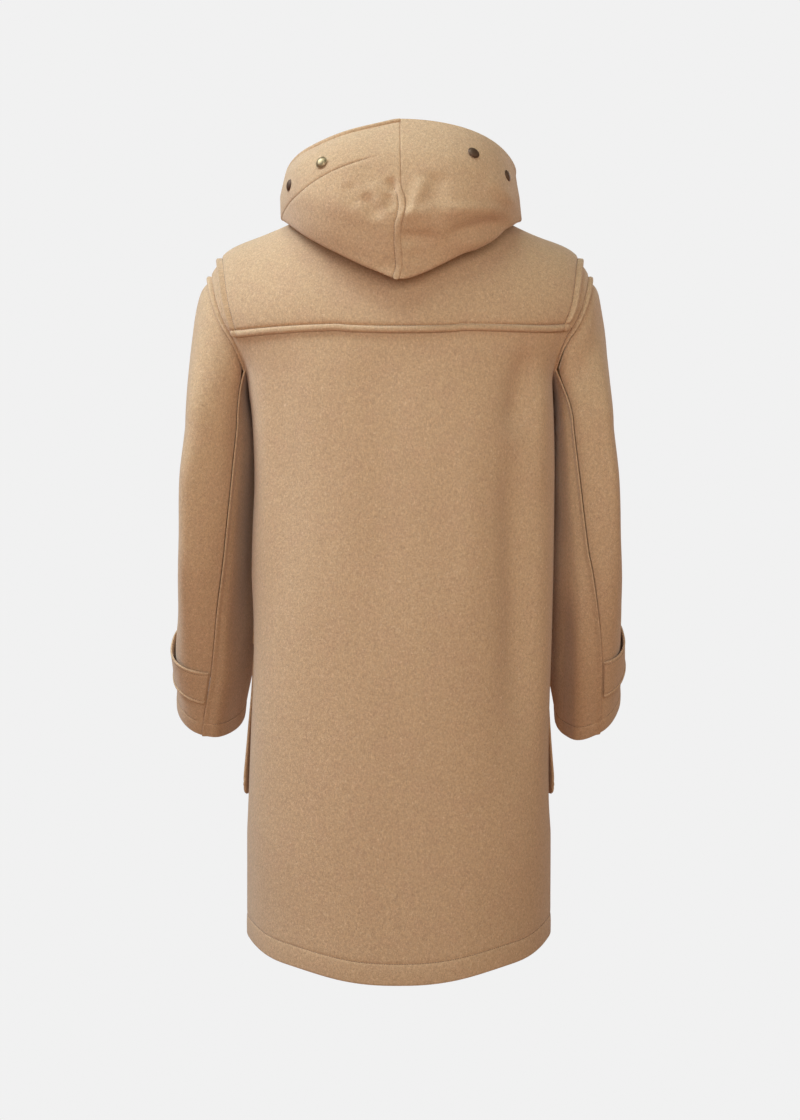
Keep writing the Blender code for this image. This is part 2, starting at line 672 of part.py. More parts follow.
# ----------------------------------------------------------- sewn pieces
def overlap_lift(columns):
    """Height of the left front over the right one, by column."""
    full = top_columns()[OVERLAP_STEPS]
    return PLY * ease((NECK_X - np.array(columns)) / (NECK_X - full))


def add_body(grids, normals, collection):
    lift = np.broadcast_to(overlap_lift(front_columns()), grids["front_left"].shape[:2])
    add_cloth("back", [wall_layer(grids["back"], normals,
                                  seams=("first", "last", "top"))], collection)
    add_cloth("front_left", [wall_layer(grids["front_left"], normals, lift,
                                        ("last", "top"))], collection)
    add_cloth("front_right", [wall_layer(grids["front_right"], normals,
                                         seams=("first", "top"))], collection)


def add_yoke(grids, normals, collection):
    """Saddle yoke: across the back, over the shoulders, down the fronts."""
    low_row = len(BODY_ROWS) + UNDERARM_STEPS - 1
    inner = OVERLAP_STEPS + NECK_STEPS - 1
    back = grids["back"][low_row:, 1:-1]
    left = grids["front_left"][low_row + 1:, inner:-1]
    right = grids["front_right"][low_row + 1:, 1:-inner]
    lap = np.broadcast_to(overlap_lift(front_columns())[inner:-1], left.shape[:2])
    layers = [wall_layer(back, normals, PLY), wall_layer(left, normals, PLY + lap),
              wall_layer(right, normals, PLY)]
    add_cloth("yoke", layers, collection)


def add_sleeves(grids, collection, normals):
    for name in ("sleeve_left_upper", "sleeve_left_under",
                 "sleeve_right_upper", "sleeve_right_under"):
        seams = ("low", "first", "last")
        add_cloth(name, [wall_layer(grids[name], normals, seams=seams)], collection)


def add_hood(hoods, collection):
    left, right = (hood_grid(hood) for hood in hoods)
    normals = shared_normals((left, right))
    add_cloth("hood_left", [wall_layer(left, normals, seams=("last",))], collection)
    add_cloth("hood_right", [wall_layer(right, normals, seams=("first",))], collection)


def add_pockets(grids, normals, collection):
    """Patch pockets, whose lower rear corners stand off the body."""
    low, top = BODY_ROWS.index(POCKET_LOW), BODY_ROWS.index(POCKET_TOP)
    first, last = (step + OVERLAP_STEPS for step in POCKET_COLUMNS)
    rows = np.linspace(1, 0, top - low + 1)[:, None] ** 1.5
    columns = ease(np.linspace(0, 1, last - first + 1) * 2 - 1)[None]
    lift = PLY + LOOSE_GAP - SEAM_GAP + POCKET_FLARE * rows * columns
    left = grids["front_left"][low:top + 1, first:last + 1]
    add_cloth("pocket_left", [wall_layer(left, normals, lift)], collection)
    right = grids["front_right"][low:top + 1, -last - 1:-first]
    add_cloth("pocket_right", [wall_layer(right, normals, lift[:, ::-1])], collection)


def strap_place(along, share, side):
    """Height and angle on the sleeve's rings of a place on its strap."""
    z = STRAP_LOW_Z + (STRAP_TOP_Z - STRAP_LOW_Z) * share
    z += STRAP_RISE * ease(along * STRAP_TURN)
    seam = read(SLEEVE, "seam_left" if side > 0 else "seam_right", z)
    return z, seam - STRAP_START + (STRAP_END - seam) * along


def strap_lift(along, share):
    """Height of the strap's outside over the sleeve's."""
    stand = STRAP_STAND * share ** 1.5 * np.abs(np.sin(along * pi)) ** 1.2
    return CLOTH + LOOSE_GAP + stand


def add_straps(collection):
    """Cuff straps from the back sleeve seam round the outer side."""
    along = np.linspace(0, 1, STRAP_COLUMNS + 1)
    shares = np.linspace(1, 0, STRAP_LINES + 1)
    lift = strap_lift(along[None], shares[:, None])
    for label, side in (("left", 1), ("right", -1)):
        rows = [[sleeve_ring(*strap_place(place, share, side), side) for place in along]
                for share in shares]
        grid, height = np.array(rows), lift
        if side < 0:
            grid, height = mirrored(grid), lift[:, ::-1]
        normals = shared_normals((grid,))
        add_cloth(f"cuff_strap_{label}", [wall_layer(grid, normals, height)], collection)


# --------------------------------------------------------------- hardware
def stand_on(piece, point, out):
    """Place a turned piece with its axis along a surface's normal."""
    turn = Vector(out).to_track_quat("Z", "Y").to_matrix().to_4x4()
    piece.matrix_world = Matrix.Translation(Vector(point)) @ turn


def turned_mesh(name, profile, sides):
    """Solid of revolution about Z; the profile runs from top to bottom."""
    mesh = bpy.data.meshes.new(name)
    verts = [(radius, 0.0, z) for radius, z in profile]
    edges = [(i, i + 1) for i in range(len(verts) - 1)]
    mesh.from_pydata(verts, edges, [])
    guide = bpy.data.objects.new(name + "_profile", mesh)
    bpy.context.scene.collection.objects.link(guide)
    screw = guide.modifiers.new("turn", "SCREW")
    screw.steps = screw.render_steps = sides
    screw.use_merge_vertices = True
    screw.merge_threshold = 0.0001
    bpy.context.view_layer.update()
    graph = bpy.context.evaluated_depsgraph_get()
    result = bpy.data.meshes.new_from_object(guide.evaluated_get(graph))
    bpy.data.objects.remove(guide)
    bpy.data.meshes.remove(mesh)
    result.name = name
    result.shade_smooth()
    result.set_sharp_from_angle(angle=radians(40))
    return result


def dome_profile(dome):
    turns = [pi / 2 * i / dome.steps for i in range(dome.steps + 1)]
    arc = [(dome.radius * sin(turn), dome.lip + dome.height * cos(turn)) for turn in turns]
    return arc + [(dome.radius, 0.0), (0.0, 0.0)]


def add_snaps(hoods, collection):
    for snap in SNAPS:
        hood = hoods[0] if snap.side > 0 else hoods[1]
        point = hood_point(hood, snap.angle, snap.ring)
        along = hood_point(hood, snap.angle, snap.ring + 0.1) - point
        across = hood_point(hood, snap.angle + 2, snap.ring) - point
        out = np.cross(along, across) * snap.side
        out /= np.linalg.norm(out)
        mesh = turned_mesh(snap.name, dome_profile(SNAP), 16)
        piece = add_piece(snap.name, mesh, "brass", collection)
        stand_on(piece, point + out * snap.height, out)


def add_buttons(collection):
    for label, side in (("left", 1), ("right", -1)):
        z, angle = strap_place(BUTTON_ALONG, BUTTON_SHARE, side)
        point = sleeve_ring(z, angle, side)
        up = sleeve_ring(z + 0.01, angle, side) - point
        across = sleeve_ring(z, angle + 4, side) - point
        out = np.cross(across, up)
        out /= np.linalg.norm(out)
        lift = strap_lift(BUTTON_ALONG, BUTTON_SHARE) + BUTTON_GAP
        mirror = np.array((side, 1.0, 1.0))
        name = f"cuff_button_{label}"
        mesh = turned_mesh(name, dome_profile(BUTTON), 16)
        piece = add_piece(name, mesh, "horn", collection)
        stand_on(piece, (point + out * lift) * mirror, out * mirror)


def front_point(x, z, height):
    """Point in front of the closed fronts, at a height off the lower one."""
    width, depth = read(GIRTHS, "half_width", z), body_depth(z, False)
    if z > UNDERARM_Z:
        drop = (YOKE_Z - min(z, YOKE_Z)) / (YOKE_Z - UNDERARM_Z)
        width = arm_span(np.arcsin(drop ** (ARM_ROUND / 2)) * 2 / pi, False)[0]
    square = read(GIRTHS, "square", z)
    share = abs(x - read(GIRTHS, "centre", z)) / width
    y = -depth * (1 - share ** square) ** (1 / square)
    slope = depth / width * share ** (square - 1)
    slope *= (1 - share ** square) ** (1 / square - 1)
    out = np.array((slope * np.sign(x), -1.0, 0.0))
    out /= np.linalg.norm(out)
    return np.array((x, y, z)) + out * height, out


def add_patch(name, x, z, height, collection):
    """Leather patch that follows the front it is sewn on."""
    lines = np.linspace(-1, 1, 5)
    rows = []
    for down in lines:
        row = [front_point(x + PATCH_HALF * line, z + PATCH_HALF * down, height)[0]
               for line in lines]
        rows.append(row)
    grid = np.array(rows)
    layer = wall_layer(grid, shared_normals((grid,)), PATCH_THICK, (), PATCH_THICK)
    add_piece(name, wall_mesh(name, [layer]), "leather", collection)


def add_cord(name, route, collection):
    curve = bpy.data.curves.new(name, "CURVE")
    curve.dimensions = "3D"
    curve.bevel_depth = CORD_RADIUS
    curve.bevel_resolution = 1
    curve.use_fill_caps = True
    spline = curve.splines.new("POLY")
    spline.points.add(len(route) - 1)
    for point, place in zip(spline.points, route):
        point.co = (*place, 1.0)
    add_piece(name, curve, "cord", collection)


def toggle_profile():
    """Horn toggle: a waisted barrel with rounded ends."""
    half = [(0.0, 1.0), (0.42, 0.97), (0.68, 0.88), (0.86, 0.68), (1.0, 0.36),
            (0.96, 0.0)]
    low = [(radius, -z) for radius, z in half[-2::-1]]
    return [(radius * TOGGLE_RADIUS, z * TOGGLE_HALF) for radius, z in half + low]


def add_closure(number, z, collection):
    """One toggle with its two cords and two leather patches."""
    lap = PLY                              # the left front lies this much higher
    base = CORD_RADIUS + CORD_LIFT
    add_patch(f"patch_left_{number}", LEFT_PATCH_X, z, lap + PATCH_GAP, collection)
    add_patch(f"patch_right_{number}", RIGHT_PATCH_X, z, PATCH_GAP, collection)
    start = LEFT_PATCH_X - PATCH_HALF - CORD_GAP
    end = TOGGLE_X - LOOP_REACH
    bend = [i / 6 * pi for i in range(7)]
    route = [front_point(start, z + LOOP_HALF, lap + base)[0],
             front_point((start + end) / 2, z + LOOP_HALF, lap + base)[0]]
    route += [front_point(end - LOOP_HALF * sin(a), z + LOOP_HALF * cos(a),
                          lap + base)[0] for a in bend]
    route += [front_point((start + end) / 2, z - LOOP_HALF, lap + base)[0],
              front_point(start, z - LOOP_HALF, lap + base)[0]]
    add_cord(f"cord_loop_{number}", route, collection)
    high = lap + base + 2 * CORD_RADIUS + LOOSE_GAP
    start = RIGHT_PATCH_X + PATCH_HALF + CORD_GAP
    route = [front_point(start, z + HOLD_HALF, base)[0],
             front_point(start + HOLD_RISE, z + HOLD_HALF, high)[0],
             front_point(TOGGLE_X, z + HOLD_HALF, high)[0],
             front_point(TOGGLE_X + HOLD_TURN, z, high)[0],
             front_point(TOGGLE_X, z - HOLD_HALF, high)[0],
             front_point(start + HOLD_RISE, z - HOLD_HALF, high)[0],
             front_point(start, z - HOLD_HALF, base)[0]]
    add_cord(f"cord_hold_{number}", route, collection)
    name = f"toggle_{number}"
    piece = add_piece(name, turned_mesh(name, toggle_profile(), 12), "horn", collection)
    height = high + CORD_RADIUS + TOGGLE_RADIUS + SEAM_GAP
    piece.location = front_point(TOGGLE_X, z, height)[0]


# ------------------------------------------------------------------ build
def clear_scene():
    for item in list(bpy.data.objects):
        bpy.data.objects.remove(item)


def add_finishes():
    for name, (colour, roughness, metallic) in FINISHES.items():
        finish = bpy.data.materials.new(name)
        finish.use_nodes = True
        shader = finish.node_tree.nodes["Principled BSDF"]
        shader.inputs["Base Color"].default_value = (*colour, 1.0)
        shader.inputs["Roughness"].default_value = roughness
        shader.inputs["Metallic"].default_value = metallic


def sewn_grids():
    """Grids of the pieces that share seams round the body and armholes."""
    front_left = body_grid(front_columns(), False)
    front_right = body_grid([-x for x in front_columns()][::-1], False)
    last = ARMHOLE_STEPS + BACK_SEAM_STEP
    return {
        "back": body_grid(back_columns(), True),
        "front_left": front_left,
        "front_right": front_right,
        "sleeve_left_upper": sleeve_grid(BACK_SEAM_STEP, FRONT_SEAM_STEP, 1),
        "sleeve_left_under": sleeve_grid(FRONT_SEAM_STEP, last, 1),
        "sleeve_right_upper": mirrored(sleeve_grid(BACK_SEAM_STEP, FRONT_SEAM_STEP, -1)),
        "sleeve_right_under": mirrored(sleeve_grid(FRONT_SEAM_STEP, last, -1)),
    }


def main():
    clear_scene()
    add_finishes()
    collection = bpy.data.collections.new("duffle_coat")
    bpy.context.scene.collection.children.link(collection)
    grids = sewn_grids()
    normals = shared_normals(grids.values())
    add_body(grids, normals, collection)
    add_yoke(grids, normals, collection)
    add_sleeves(grids, collection, normals)
    hoods = hood_of(1, normals), hood_of(-1, normals)
    add_hood(hoods, collection)
    add_pockets(grids, normals, collection)
    add_straps(collection)
    add_snaps(hoods, collection)
    add_buttons(collection)
    for number, z in enumerate(CLOSURE_Z, 1):
        add_closure(number, z, collection)


main()
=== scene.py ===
"""Looks of the duffle coat: wool panels, sewing, horn, leather and brass.

Metres, +Z up. The wearer faces -Y and the wearer's left is +X, as in the
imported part. Each cloth panel is a thin shell on the surface that its solid
was lofted from, with its rolled edges, seams, stitch lines and creases.
"""
from collections import namedtuple
from math import cos, pi, radians, sin

import bpy
import numpy as np
from mathutils import Matrix, Vector


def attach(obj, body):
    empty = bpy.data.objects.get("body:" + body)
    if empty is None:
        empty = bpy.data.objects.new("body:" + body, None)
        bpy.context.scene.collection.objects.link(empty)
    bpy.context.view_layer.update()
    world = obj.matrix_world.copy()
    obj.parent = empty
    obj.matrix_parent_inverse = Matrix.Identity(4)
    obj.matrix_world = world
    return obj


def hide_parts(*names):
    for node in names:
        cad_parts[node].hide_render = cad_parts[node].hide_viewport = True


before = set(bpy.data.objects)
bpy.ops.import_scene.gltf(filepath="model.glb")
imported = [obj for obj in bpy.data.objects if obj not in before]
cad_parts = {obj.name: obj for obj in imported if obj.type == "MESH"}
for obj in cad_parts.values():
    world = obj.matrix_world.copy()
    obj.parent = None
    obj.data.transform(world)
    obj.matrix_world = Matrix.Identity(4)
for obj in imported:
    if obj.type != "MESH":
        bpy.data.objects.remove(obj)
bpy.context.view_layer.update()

# ------------------------------------------------------------------- camera
CAMERA_PLACE = 0.0, 2.2, -0.477
CAMERA_LENS = 52.0
SENSOR_HEIGHT = 36.0
PICTURE_WIDTH, PICTURE_HEIGHT = 800, 1120

# ------------------------------------------------------- sizes of the cloth
SIDES = {1: "left", -1: "right"}     # by the sign of x
CLOTH = 0.003              # thickness of the wool
SEAM_GAP = 0.0003
PLY = CLOTH + SEAM_GAP     # height that one layer adds to what it lies on
LOOSE_GAP = 0.0010

HEM_Z = -0.979             # the hem at the sides
HEM_DROP = 0.031           # how much lower it hangs at the centre
HEM_BOW = 0.62             # share of this that comes near the centre, not at a corner
HEM_CORNER = 0.25, 0.75
UNDERARM_Z = -0.235
YOKE_Z = -0.186
ARM_X = 0.2235
ARM_BACK, ARM_FRONT = 0.070, 0.066
UNDERARM_X = 0.2045
ARM_ROUND, ARM_TURN = 2.4, 1.5
NECK_X = 0.085
NECK_BACK, NECK_FRONT = 0.088, 0.100
YOKE_SIDE_X = 0.247
YOKE_CORNER_X = 0.2182
SHOULDER_X = 0.262
NECK_GAP = 0.0005          # between the hood's seam and what it is sewn to
NECK_STEP = 22.5           # degrees between the neck's main points
LAP_X = NECK_X * sin(radians(NECK_STEP))      # how far a front passes the centre
YOKE_FRONT_X = NECK_X * sin(radians(3 * NECK_STEP))
BISECTIONS = 40            # to find where a column meets the neck's edge

# Level sections of the body: half width, x of its centre, its depths and how
# square its corners are.
Girth = namedtuple("Girth", "z half_width centre back front square")
GIRTHS = (
    Girth(-1.020, 0.2052, 0.0017, 0.178, 0.172, 2.50),
    Girth(-0.850, 0.2046, 0.0017, 0.174, 0.170, 2.50),
    Girth(-0.700, 0.2036, 0.0012, 0.170, 0.168, 2.50),
    Girth(-0.550, 0.2018, -0.0024, 0.165, 0.164, 2.55),
    Girth(-0.450, 0.2024, -0.0044, 0.160, 0.160, 2.60),
    Girth(-0.370, 0.2016, -0.0058, 0.156, 0.156, 2.65),
    Girth(-0.290, 0.2022, -0.0040, 0.152, 0.153, 2.75),
    Girth(-0.235, 0.2045, 0.0, 0.149, 0.150, 2.75),
    Girth(-0.186, 0.2045, 0.0, 0.1465, 0.148, 2.20),
)

# Crest of the shoulder, from the middle of the neck out to the armhole.
Ridge = namedtuple("Ridge", "x z")
SHOULDER = (
    Ridge(0.0, 0.0165), Ridge(0.043, 0.0120), Ridge(0.085, 0.0),
    Ridge(0.128, -0.0155), Ridge(0.169, -0.0345),
    Ridge(0.190, -0.0428), Ridge(0.2135, -0.0510),
    Ridge(0.2298, -0.0590), Ridge(0.247, -0.0750), Ridge(0.262, -0.0970),
)

# How a column of the body bends from the yoke's level up to the crest: its
# pulls outward, upward and sideways at its start (out, rise, spread) and at its
# end (over, lift, gather).
Spring = namedtuple("Spring", "x out rise over lift spread gather")
BACK_SPRING = (
    Spring(0.000, -0.010, 0.240, 0.200, 0.000, 0.000, 0.000),
    Spring(0.085, -0.002, 0.220, 0.200, 0.000, 0.010, 0.010),
    Spring(0.170, 0.022, 0.190, 0.195, 0.000, 0.020, 0.020),
    Spring(0.225, 0.022, 0.150, 0.160, 0.005, 0.030, 0.022),
    Spring(0.262, 0.004, 0.085, 0.112, 0.035, 0.075, 0.012),
)
FRONT_SPRING = (
    Spring(0.000, 0.004, 0.180, 0.180, 0.000, 0.000, 0.000),
    Spring(0.085, 0.004, 0.185, 0.185, 0.000, 0.010, 0.010),
    Spring(0.170, 0.014, 0.190, 0.190, 0.000, 0.020, 0.020),
    Spring(0.225, 0.014, 0.150, 0.155, 0.005, 0.030, 0.022),
    Spring(0.262, 0.004, 0.085, 0.107, 0.035, 0.075, 0.012),
)

# Folds that hang down the back. They fade over these shares of their length,
# and near the sides.
Drape = namedtuple("Drape", "x_top z_top x_low z_low width height")
DRAPE_START, DRAPE_END = 0.12, 0.40
DRAPE_SIDE = 0.35
DRAPES = (
    Drape(-0.184, -0.192, -0.181, -0.84, 0.021, 0.0050),
    Drape(-0.154, -0.192, -0.146, -0.84, 0.030, -0.0085),
    Drape(0.028, -0.200, 0.030, -0.62, 0.030, -0.0025),
    Drape(0.186, -0.200, 0.184, -0.62, 0.020, 0.0030),
    Drape(0.156, -0.200, 0.146, -0.58, 0.026, -0.0035),
)

# The yoke's edge runs higher than YOKE_Z at these shares of the back's half
# width; the rise fades within YOKE_FADE above and below it.
Bend = namedtuple("Bend", "share rise")
YOKE_BENDS = (
    Bend(-1.0, 0.0), Bend(-0.955, 0.0145), Bend(-0.751, 0.0080), Bend(-0.555, 0.0040),
    Bend(-0.357, 0.0020), Bend(0.0, 0.0), Bend(0.302, 0.0012), Bend(0.617, 0.0016),
    Bend(0.824, 0.0030), Bend(0.955, 0.0048), Bend(1.0, 0.0),
)
YOKE_FADE = 0.045

# Rings of a sleeve: reach of its outer side and how much more the right one's
# is, gap to the body, place and half depth front to back, slopes in y and z,
# more slope in z and the right sleeve's extra, flatness of the outer side, and
# the angles of the two back seams.
Cuff = namedtuple("Cuff", "z outer more clear y half_depth lean tilt roll turn flat "
                          "seam_left seam_right")
SLEEVE = (
    Cuff(-0.686, 0.3175, -0.0015, 0.0530, -0.112, 0.068, 0.0, 33, 0.22, 0.16, 0.00, 85, 80),
    Cuff(-0.600, 0.3095, -0.0018, 0.0130, -0.061, 0.071, 0.2, 28, 0.10, 0.04, 0.12, 90, 74),
    Cuff(-0.532, 0.3000, 0.0018, 0.0061, -0.032, 0.075, 0.5, 20, 0.04, 0.00, 0.24, 93, 80),
    Cuff(-0.450, 0.2943, 0.0020, 0.0032, -0.010, 0.079, 0.8, 11, 0.00, 0.00, 0.28, 103, 92),
    Cuff(-0.370, 0.2912, 0.0010, 0.0030, -0.001, 0.083, 0.8, 4, 0.00, 0.00, 0.28, 113, 105),
    Cuff(-0.300, 0.2855, 0.0000, 0.0032, 0.001, 0.086, 0.6, 0, 0.00, 0.00, 0.20, 127, 116),
)
SLEEVE_HALF = 0.045
FRONT_SEAM = -155
SLEEVE_SQUARE = 0.9
FLAT_START = 0.5           # the flatness begins this far inward of the middle
SLEEVE_TOP_Z, CUFF_Z = -0.300, -0.686
ARMHOLE_HALF = 12          # steps of the armhole from underneath to the shoulder
ARMHOLE_LOW = 6            # of which this many lie below the yoke's level
BACK_SEAM_STEP, FRONT_SEAM_STEP = 3, 21

# How a sleeve leaves the armhole, by the share of the armhole's height.
Head = namedtuple("Head", "height out down reach")
HEADS = (
    Head(0.00, 0.35, 0.94, 0.80), Head(0.15, 0.38, 0.92, 0.95),
    Head(0.45, 0.32, 0.95, 1.00), Head(0.80, 0.38, 0.92, 0.85),
    Head(1.00, 0.58, 0.81, 0.70),
)

# Rings of the hood from the neck down to its fold and up again to the brim.
# vee and bow shape how each falls from its side to the centre at the back.
Ring = namedtuple("Ring", "half_width back front z_back z_side z_front "
                          "vee_left bow_left vee_right bow_right wider_right flat")
HOOD = (
    Ring(0.0880, 0.0890, 0.1040, 0.0020, 0.0160, -0.0400, 0, .6, 0, .6, 0, .00),
    Ring(0.0980, 0.0970, 0.1100, 0.0060, 0.0210, -0.0300, 0, .6, 0, .6, 0, .02),
    Ring(0.1230, 0.1240, 0.1170, -0.0420, 0.0040, -0.0360, .2, .6, .2, .6, .001, .06),
    Ring(0.1450, 0.1460, 0.1220, -0.1000, -0.0130, -0.0440, .5, .35, .5, .35, .003, .10),
    Ring(0.1545, 0.1570, 0.1260, -0.1250, -0.0175, -0.0470, .58, .3, .58, .3, .005, .14),
    Ring(0.1610, 0.1680, 0.1285, -0.1110, -0.0160, -0.0440, .58, .3, .58, .3, .004, .18),
    Ring(0.1600, 0.1900, 0.1275, -0.0560, 0.0050, -0.0380, .4, .4, .4, .4, .001, .24),
    Ring(0.1565, 0.1850, 0.1250, -0.0050, 0.0220, -0.0320, .3, .45, .2, .5, 0, .28),
    Ring(0.1545, 0.1720, 0.1220, 0.0390, 0.0330, -0.0270, .6, .1, .15, .5, 0, .30),
    Ring(0.1500, 0.1420, 0.1180, 0.0850, 0.0405, -0.0230, .80, 0, .03, .70, .006, .30),
)
HOOD_END = 157.5           # as far round the neck as the hood goes, in degrees
YOKE_TURN = 112.5          # as far as the yoke goes
FRONT_BOW = 0.6
VEE_ROUND = 0.06
SIDE_TURN = 8

POCKET_TOP, POCKET_LOW = -0.56, -0.80
POCKET_X = 0.13129, YOKE_SIDE_X
POCKET_FLARE = 0.005
POCKET_STAND = 0.0005      # how far its rear edge stands off the side
POCKET_HEM = 0.033         # depth of the thicker band along the pocket's mouth
POCKET_HEM_RISE = 0.0022
POCKET_CORNER = 0.015      # radius of its lower corners

STRAP_LOW_Z, STRAP_TOP_Z = -0.648, -0.605
STRAP_END, STRAP_START = -78, 2
STRAP_RISE, STRAP_TURN = 0.010, 1.6
# How far a strap's top edge stands off the sleeve halfway along, and the share
# of it that its lower edge does.
STRAP_STAND = {1: (0.0042, 0.0), -1: (0.0022, 0.9)}
STAND_POWERS = 1.5, 1.2    # how it grows up the strap and along it
# How much higher than level a strap's lower edge, top edge and far end run.
STRAP_LIFTS = {1: (0.009, 0.009, 0.0), -1: (0.014, 0.020, 0.011)}

# ----------------------------------------------------------------- hardware
TURNED_SMOOTH, ROUND_SMOOTH = 40, 80      # sharper edges, in degrees, stay edges
Dome = namedtuple("Dome", "radius height lip")
DOME_SIDES, DOME_STEPS = 40, 8
DOME_SHARE, DOME_ROUND = 0.86, 1.2      # the crown's share of the radius
# Points of its rolled rim, in shares of the radius and of the lip's height.
DOME_BEAD = ((0.90, 0.82), (0.95, 0.95), (0.99, 0.7), (1.0, 0.35), (0.97, 0.0))
BUTTON = Dome(0.011, 0.0014, 0.0018)
BUTTON_ALONG, BUTTON_SHARE = 0.87, 0.5
BUTTON_GAP = 0.0016
SNAP = Dome(0.008, 0.0024, 0.0010)
Snap = namedtuple("Snap", "name side angle ring height")
SNAPS = (
    Snap("snap_left_rear", 1, 32, 8.60, -0.0001),
    Snap("snap_left_side", 1, 61, 7.65, -0.0003),
    Snap("snap_right_rear", -1, 29, 9.00, -0.0002),
    Snap("snap_right_side", -1, 57, 8.15, 0.0003),
)
# This snap keeps the plain brass; the other three take a darker copy of it as painted shade.
BRIGHT_SNAP = "snap_left_rear"
SNAP_STEPS = 0.1, 2.0      # ring and degrees to the points that give the slope
BUTTON_STEPS = 0.01, 4     # height and degrees, for the same
CLOSURE_Z = (-0.206, -0.340, -0.475, -0.610)
PATCH_HALF, PATCH_THICK, PATCH_GAP = 0.0165, 0.0022, 0.0004
PATCH_LINES = 0.25, 0.5, 0.7, 0.8, 0.9, 0.95, 0.985, 1
LEFT_PATCH_X, RIGHT_PATCH_X = 0.010, -0.0775
TOGGLE_X, TOGGLE_HALF, TOGGLE_RADIUS = -0.042, 0.026, 0.0065
TOGGLE_SIDES = 32
TOGGLE_PROFILE = ((0.0, 1.0), (0.26, 0.995), (0.46, 0.97), (0.64, 0.92), (0.78, 0.84),
                  (0.88, 0.72), (0.95, 0.56), (1.0, 0.36), (0.97, 0.20), (0.90, 0.12),
                  (0.87, 0.06), (0.86, 0.0))
CORD_RADIUS, CORD_LIFT, CORD_GAP = 0.0017, 0.0006, 0.0012
CORD_SIDES, CORD_STEPS = 15, 60
CORD_STRANDS, CORD_TWIST = 3, 0.0030      # the length over which they turn a radian
CORD_CORE, CORD_SWELL = 0.95, 0.10
LOOP_REACH, LOOP_HALF, LOOP_STEPS = 0.002, 0.0070, 6
HOLD_TURN, HOLD_HALF, HOLD_RISE = 0.003, 0.0026, 0.0035

# ------------------------------------------------------------------- sewing
EDGE_ROLL = 0.0022         # distance over which an edge turns under
GROOVE_WIDTH = 0.0009
SHOULDER_WIDTH = 0.0030    # how far the cloth slopes down to a stitch line
SHOULDER_SHARE = 0.45      # of the groove's depth that this slope takes
HEM_STITCH = 0.027
CUFF_STITCH = 0.023
YOKE_STITCH = 0.0095
ARMHOLE_STITCH = 0.0080
BAND_STITCH = 0.062
BAND_SLANT = 0.96, 0.0056, 50  # its scale at the centre, growth a degree, last angle
FRONT_STITCH = 0.010
POCKET_STITCH = 0.006
STRAP_STITCH = 0.005
PATCH_STITCH, PATCH_GROOVE = 0.003, 0.0003
SEAM_WELT = 0.0085         # width of the raised edge along a sleeve's back seam
HOOD_WELT = 0.0088         # width of the strip beside the hood's centre seam
BRIM_ROLL = 0.0060         # width of the roll along the left side of the brim
STITCH_PITCH = 0.0032      # from one stitch to the next
STITCH_LENGTH = 0.0026
THREAD_RADIUS = 0.00032
WIDE_STITCH = 0.008        # a wider strip has a line of points along its middle
SEAM_FADE = 0.012          # length over which a seam that ends fades
CORNER_CLEAR, CORNER_SHARE = 0.012, 0.9      # how near a side stitches may start

# Sewn = a stitch line at a distance from an edge, the height of the cloth
# between them, the depth of its groove, and the heights z between which it
# runs. Without a groove it is a soft welt that has no stitches.
Sewn = namedtuple("Sewn", "edge distance puff groove z_low z_high",
                  defaults=(0.0005, 0.0008, -2.0, 2.0))


# --------------------------------------------------------------- arithmetic
def read(rows, field, key):
    """A table's column at a key, on a smooth curve that doesn't overshoot."""
    keys = np.array([row[0] for row in rows], float)
    values = np.array([getattr(row, field) for row in rows], float)
    steps = np.diff(keys)
    rates = np.diff(values) / steps
    slopes = np.zeros(len(keys))
    slopes[0], slopes[-1] = rates[0], rates[-1]
    same = rates[:-1] * rates[1:] > 0
    means = 2 * rates[:-1] * rates[1:] / np.where(same, rates[:-1] + rates[1:], 1)
    slopes[1:-1] = np.where(same, means, 0)
    key = np.clip(key, keys[0], keys[-1])
    i = np.clip(np.searchsorted(keys, key) - 1, 0, len(steps) - 1)
    t = (key - keys[i]) / steps[i]
    start, end = slopes[i] * steps[i], slopes[i + 1] * steps[i]
    return hermite(values[i], start, values[i + 1], end, t)


def hermite(start, leave, end, arrive, t):
    """Cubic from start to end with the given speeds at its ends."""
    return (start * (1 + 2 * t) * (1 - t) ** 2 + leave * t * (1 - t) ** 2
            + end * t * t * (3 - 2 * t) + arrive * t * t * (t - 1))


def through(rows, place):
    """What lies at a place on the smooth curve through the rows."""
    last = len(rows) - 1
    i = int(min(place, last - 1e-9))
    before, after = rows[max(i - 1, 0)], rows[min(i + 2, last)]
    return hermite(rows[i], (rows[i + 1] - before) / 2, rows[i + 1],
                   (after - rows[i]) / 2, place - i)


def ease(t):
    """Smooth step from 0 to 1 as t does the same."""
    t = np.clip(t, 0, 1)
    return t * t * (3 - 2 * t)


def power(value, exponent):
    return np.sign(value) * np.abs(value) ** exponent


def points(x, y, z):
    return np.stack(np.broadcast_arrays(x, y, z), axis=-1)


def unit(vectors):
    length = np.linalg.norm(vectors, axis=-1, keepdims=True)
    return vectors / np.maximum(length, 1e-9)


# --------------------------------------------------------------------- body
def armhole_low(turn, back):
    """Armhole's lower half: turn is 0 at the yoke's level, 1 underneath."""
    angle = turn * pi / 2
    reach = np.where(back, ARM_BACK, ARM_FRONT)
    depth = reach * np.cos(angle) ** (2 / ARM_ROUND)
    drop = np.sin(angle) ** (2 / ARM_ROUND)
    z = YOKE_Z + (UNDERARM_Z - YOKE_Z) * drop
    x = UNDERARM_X + (ARM_X - UNDERARM_X) * (1 - drop) ** ARM_TURN
    return x, depth, z


def body_depth(z, back):
    return read(GIRTHS, "back" if back else "front", z)


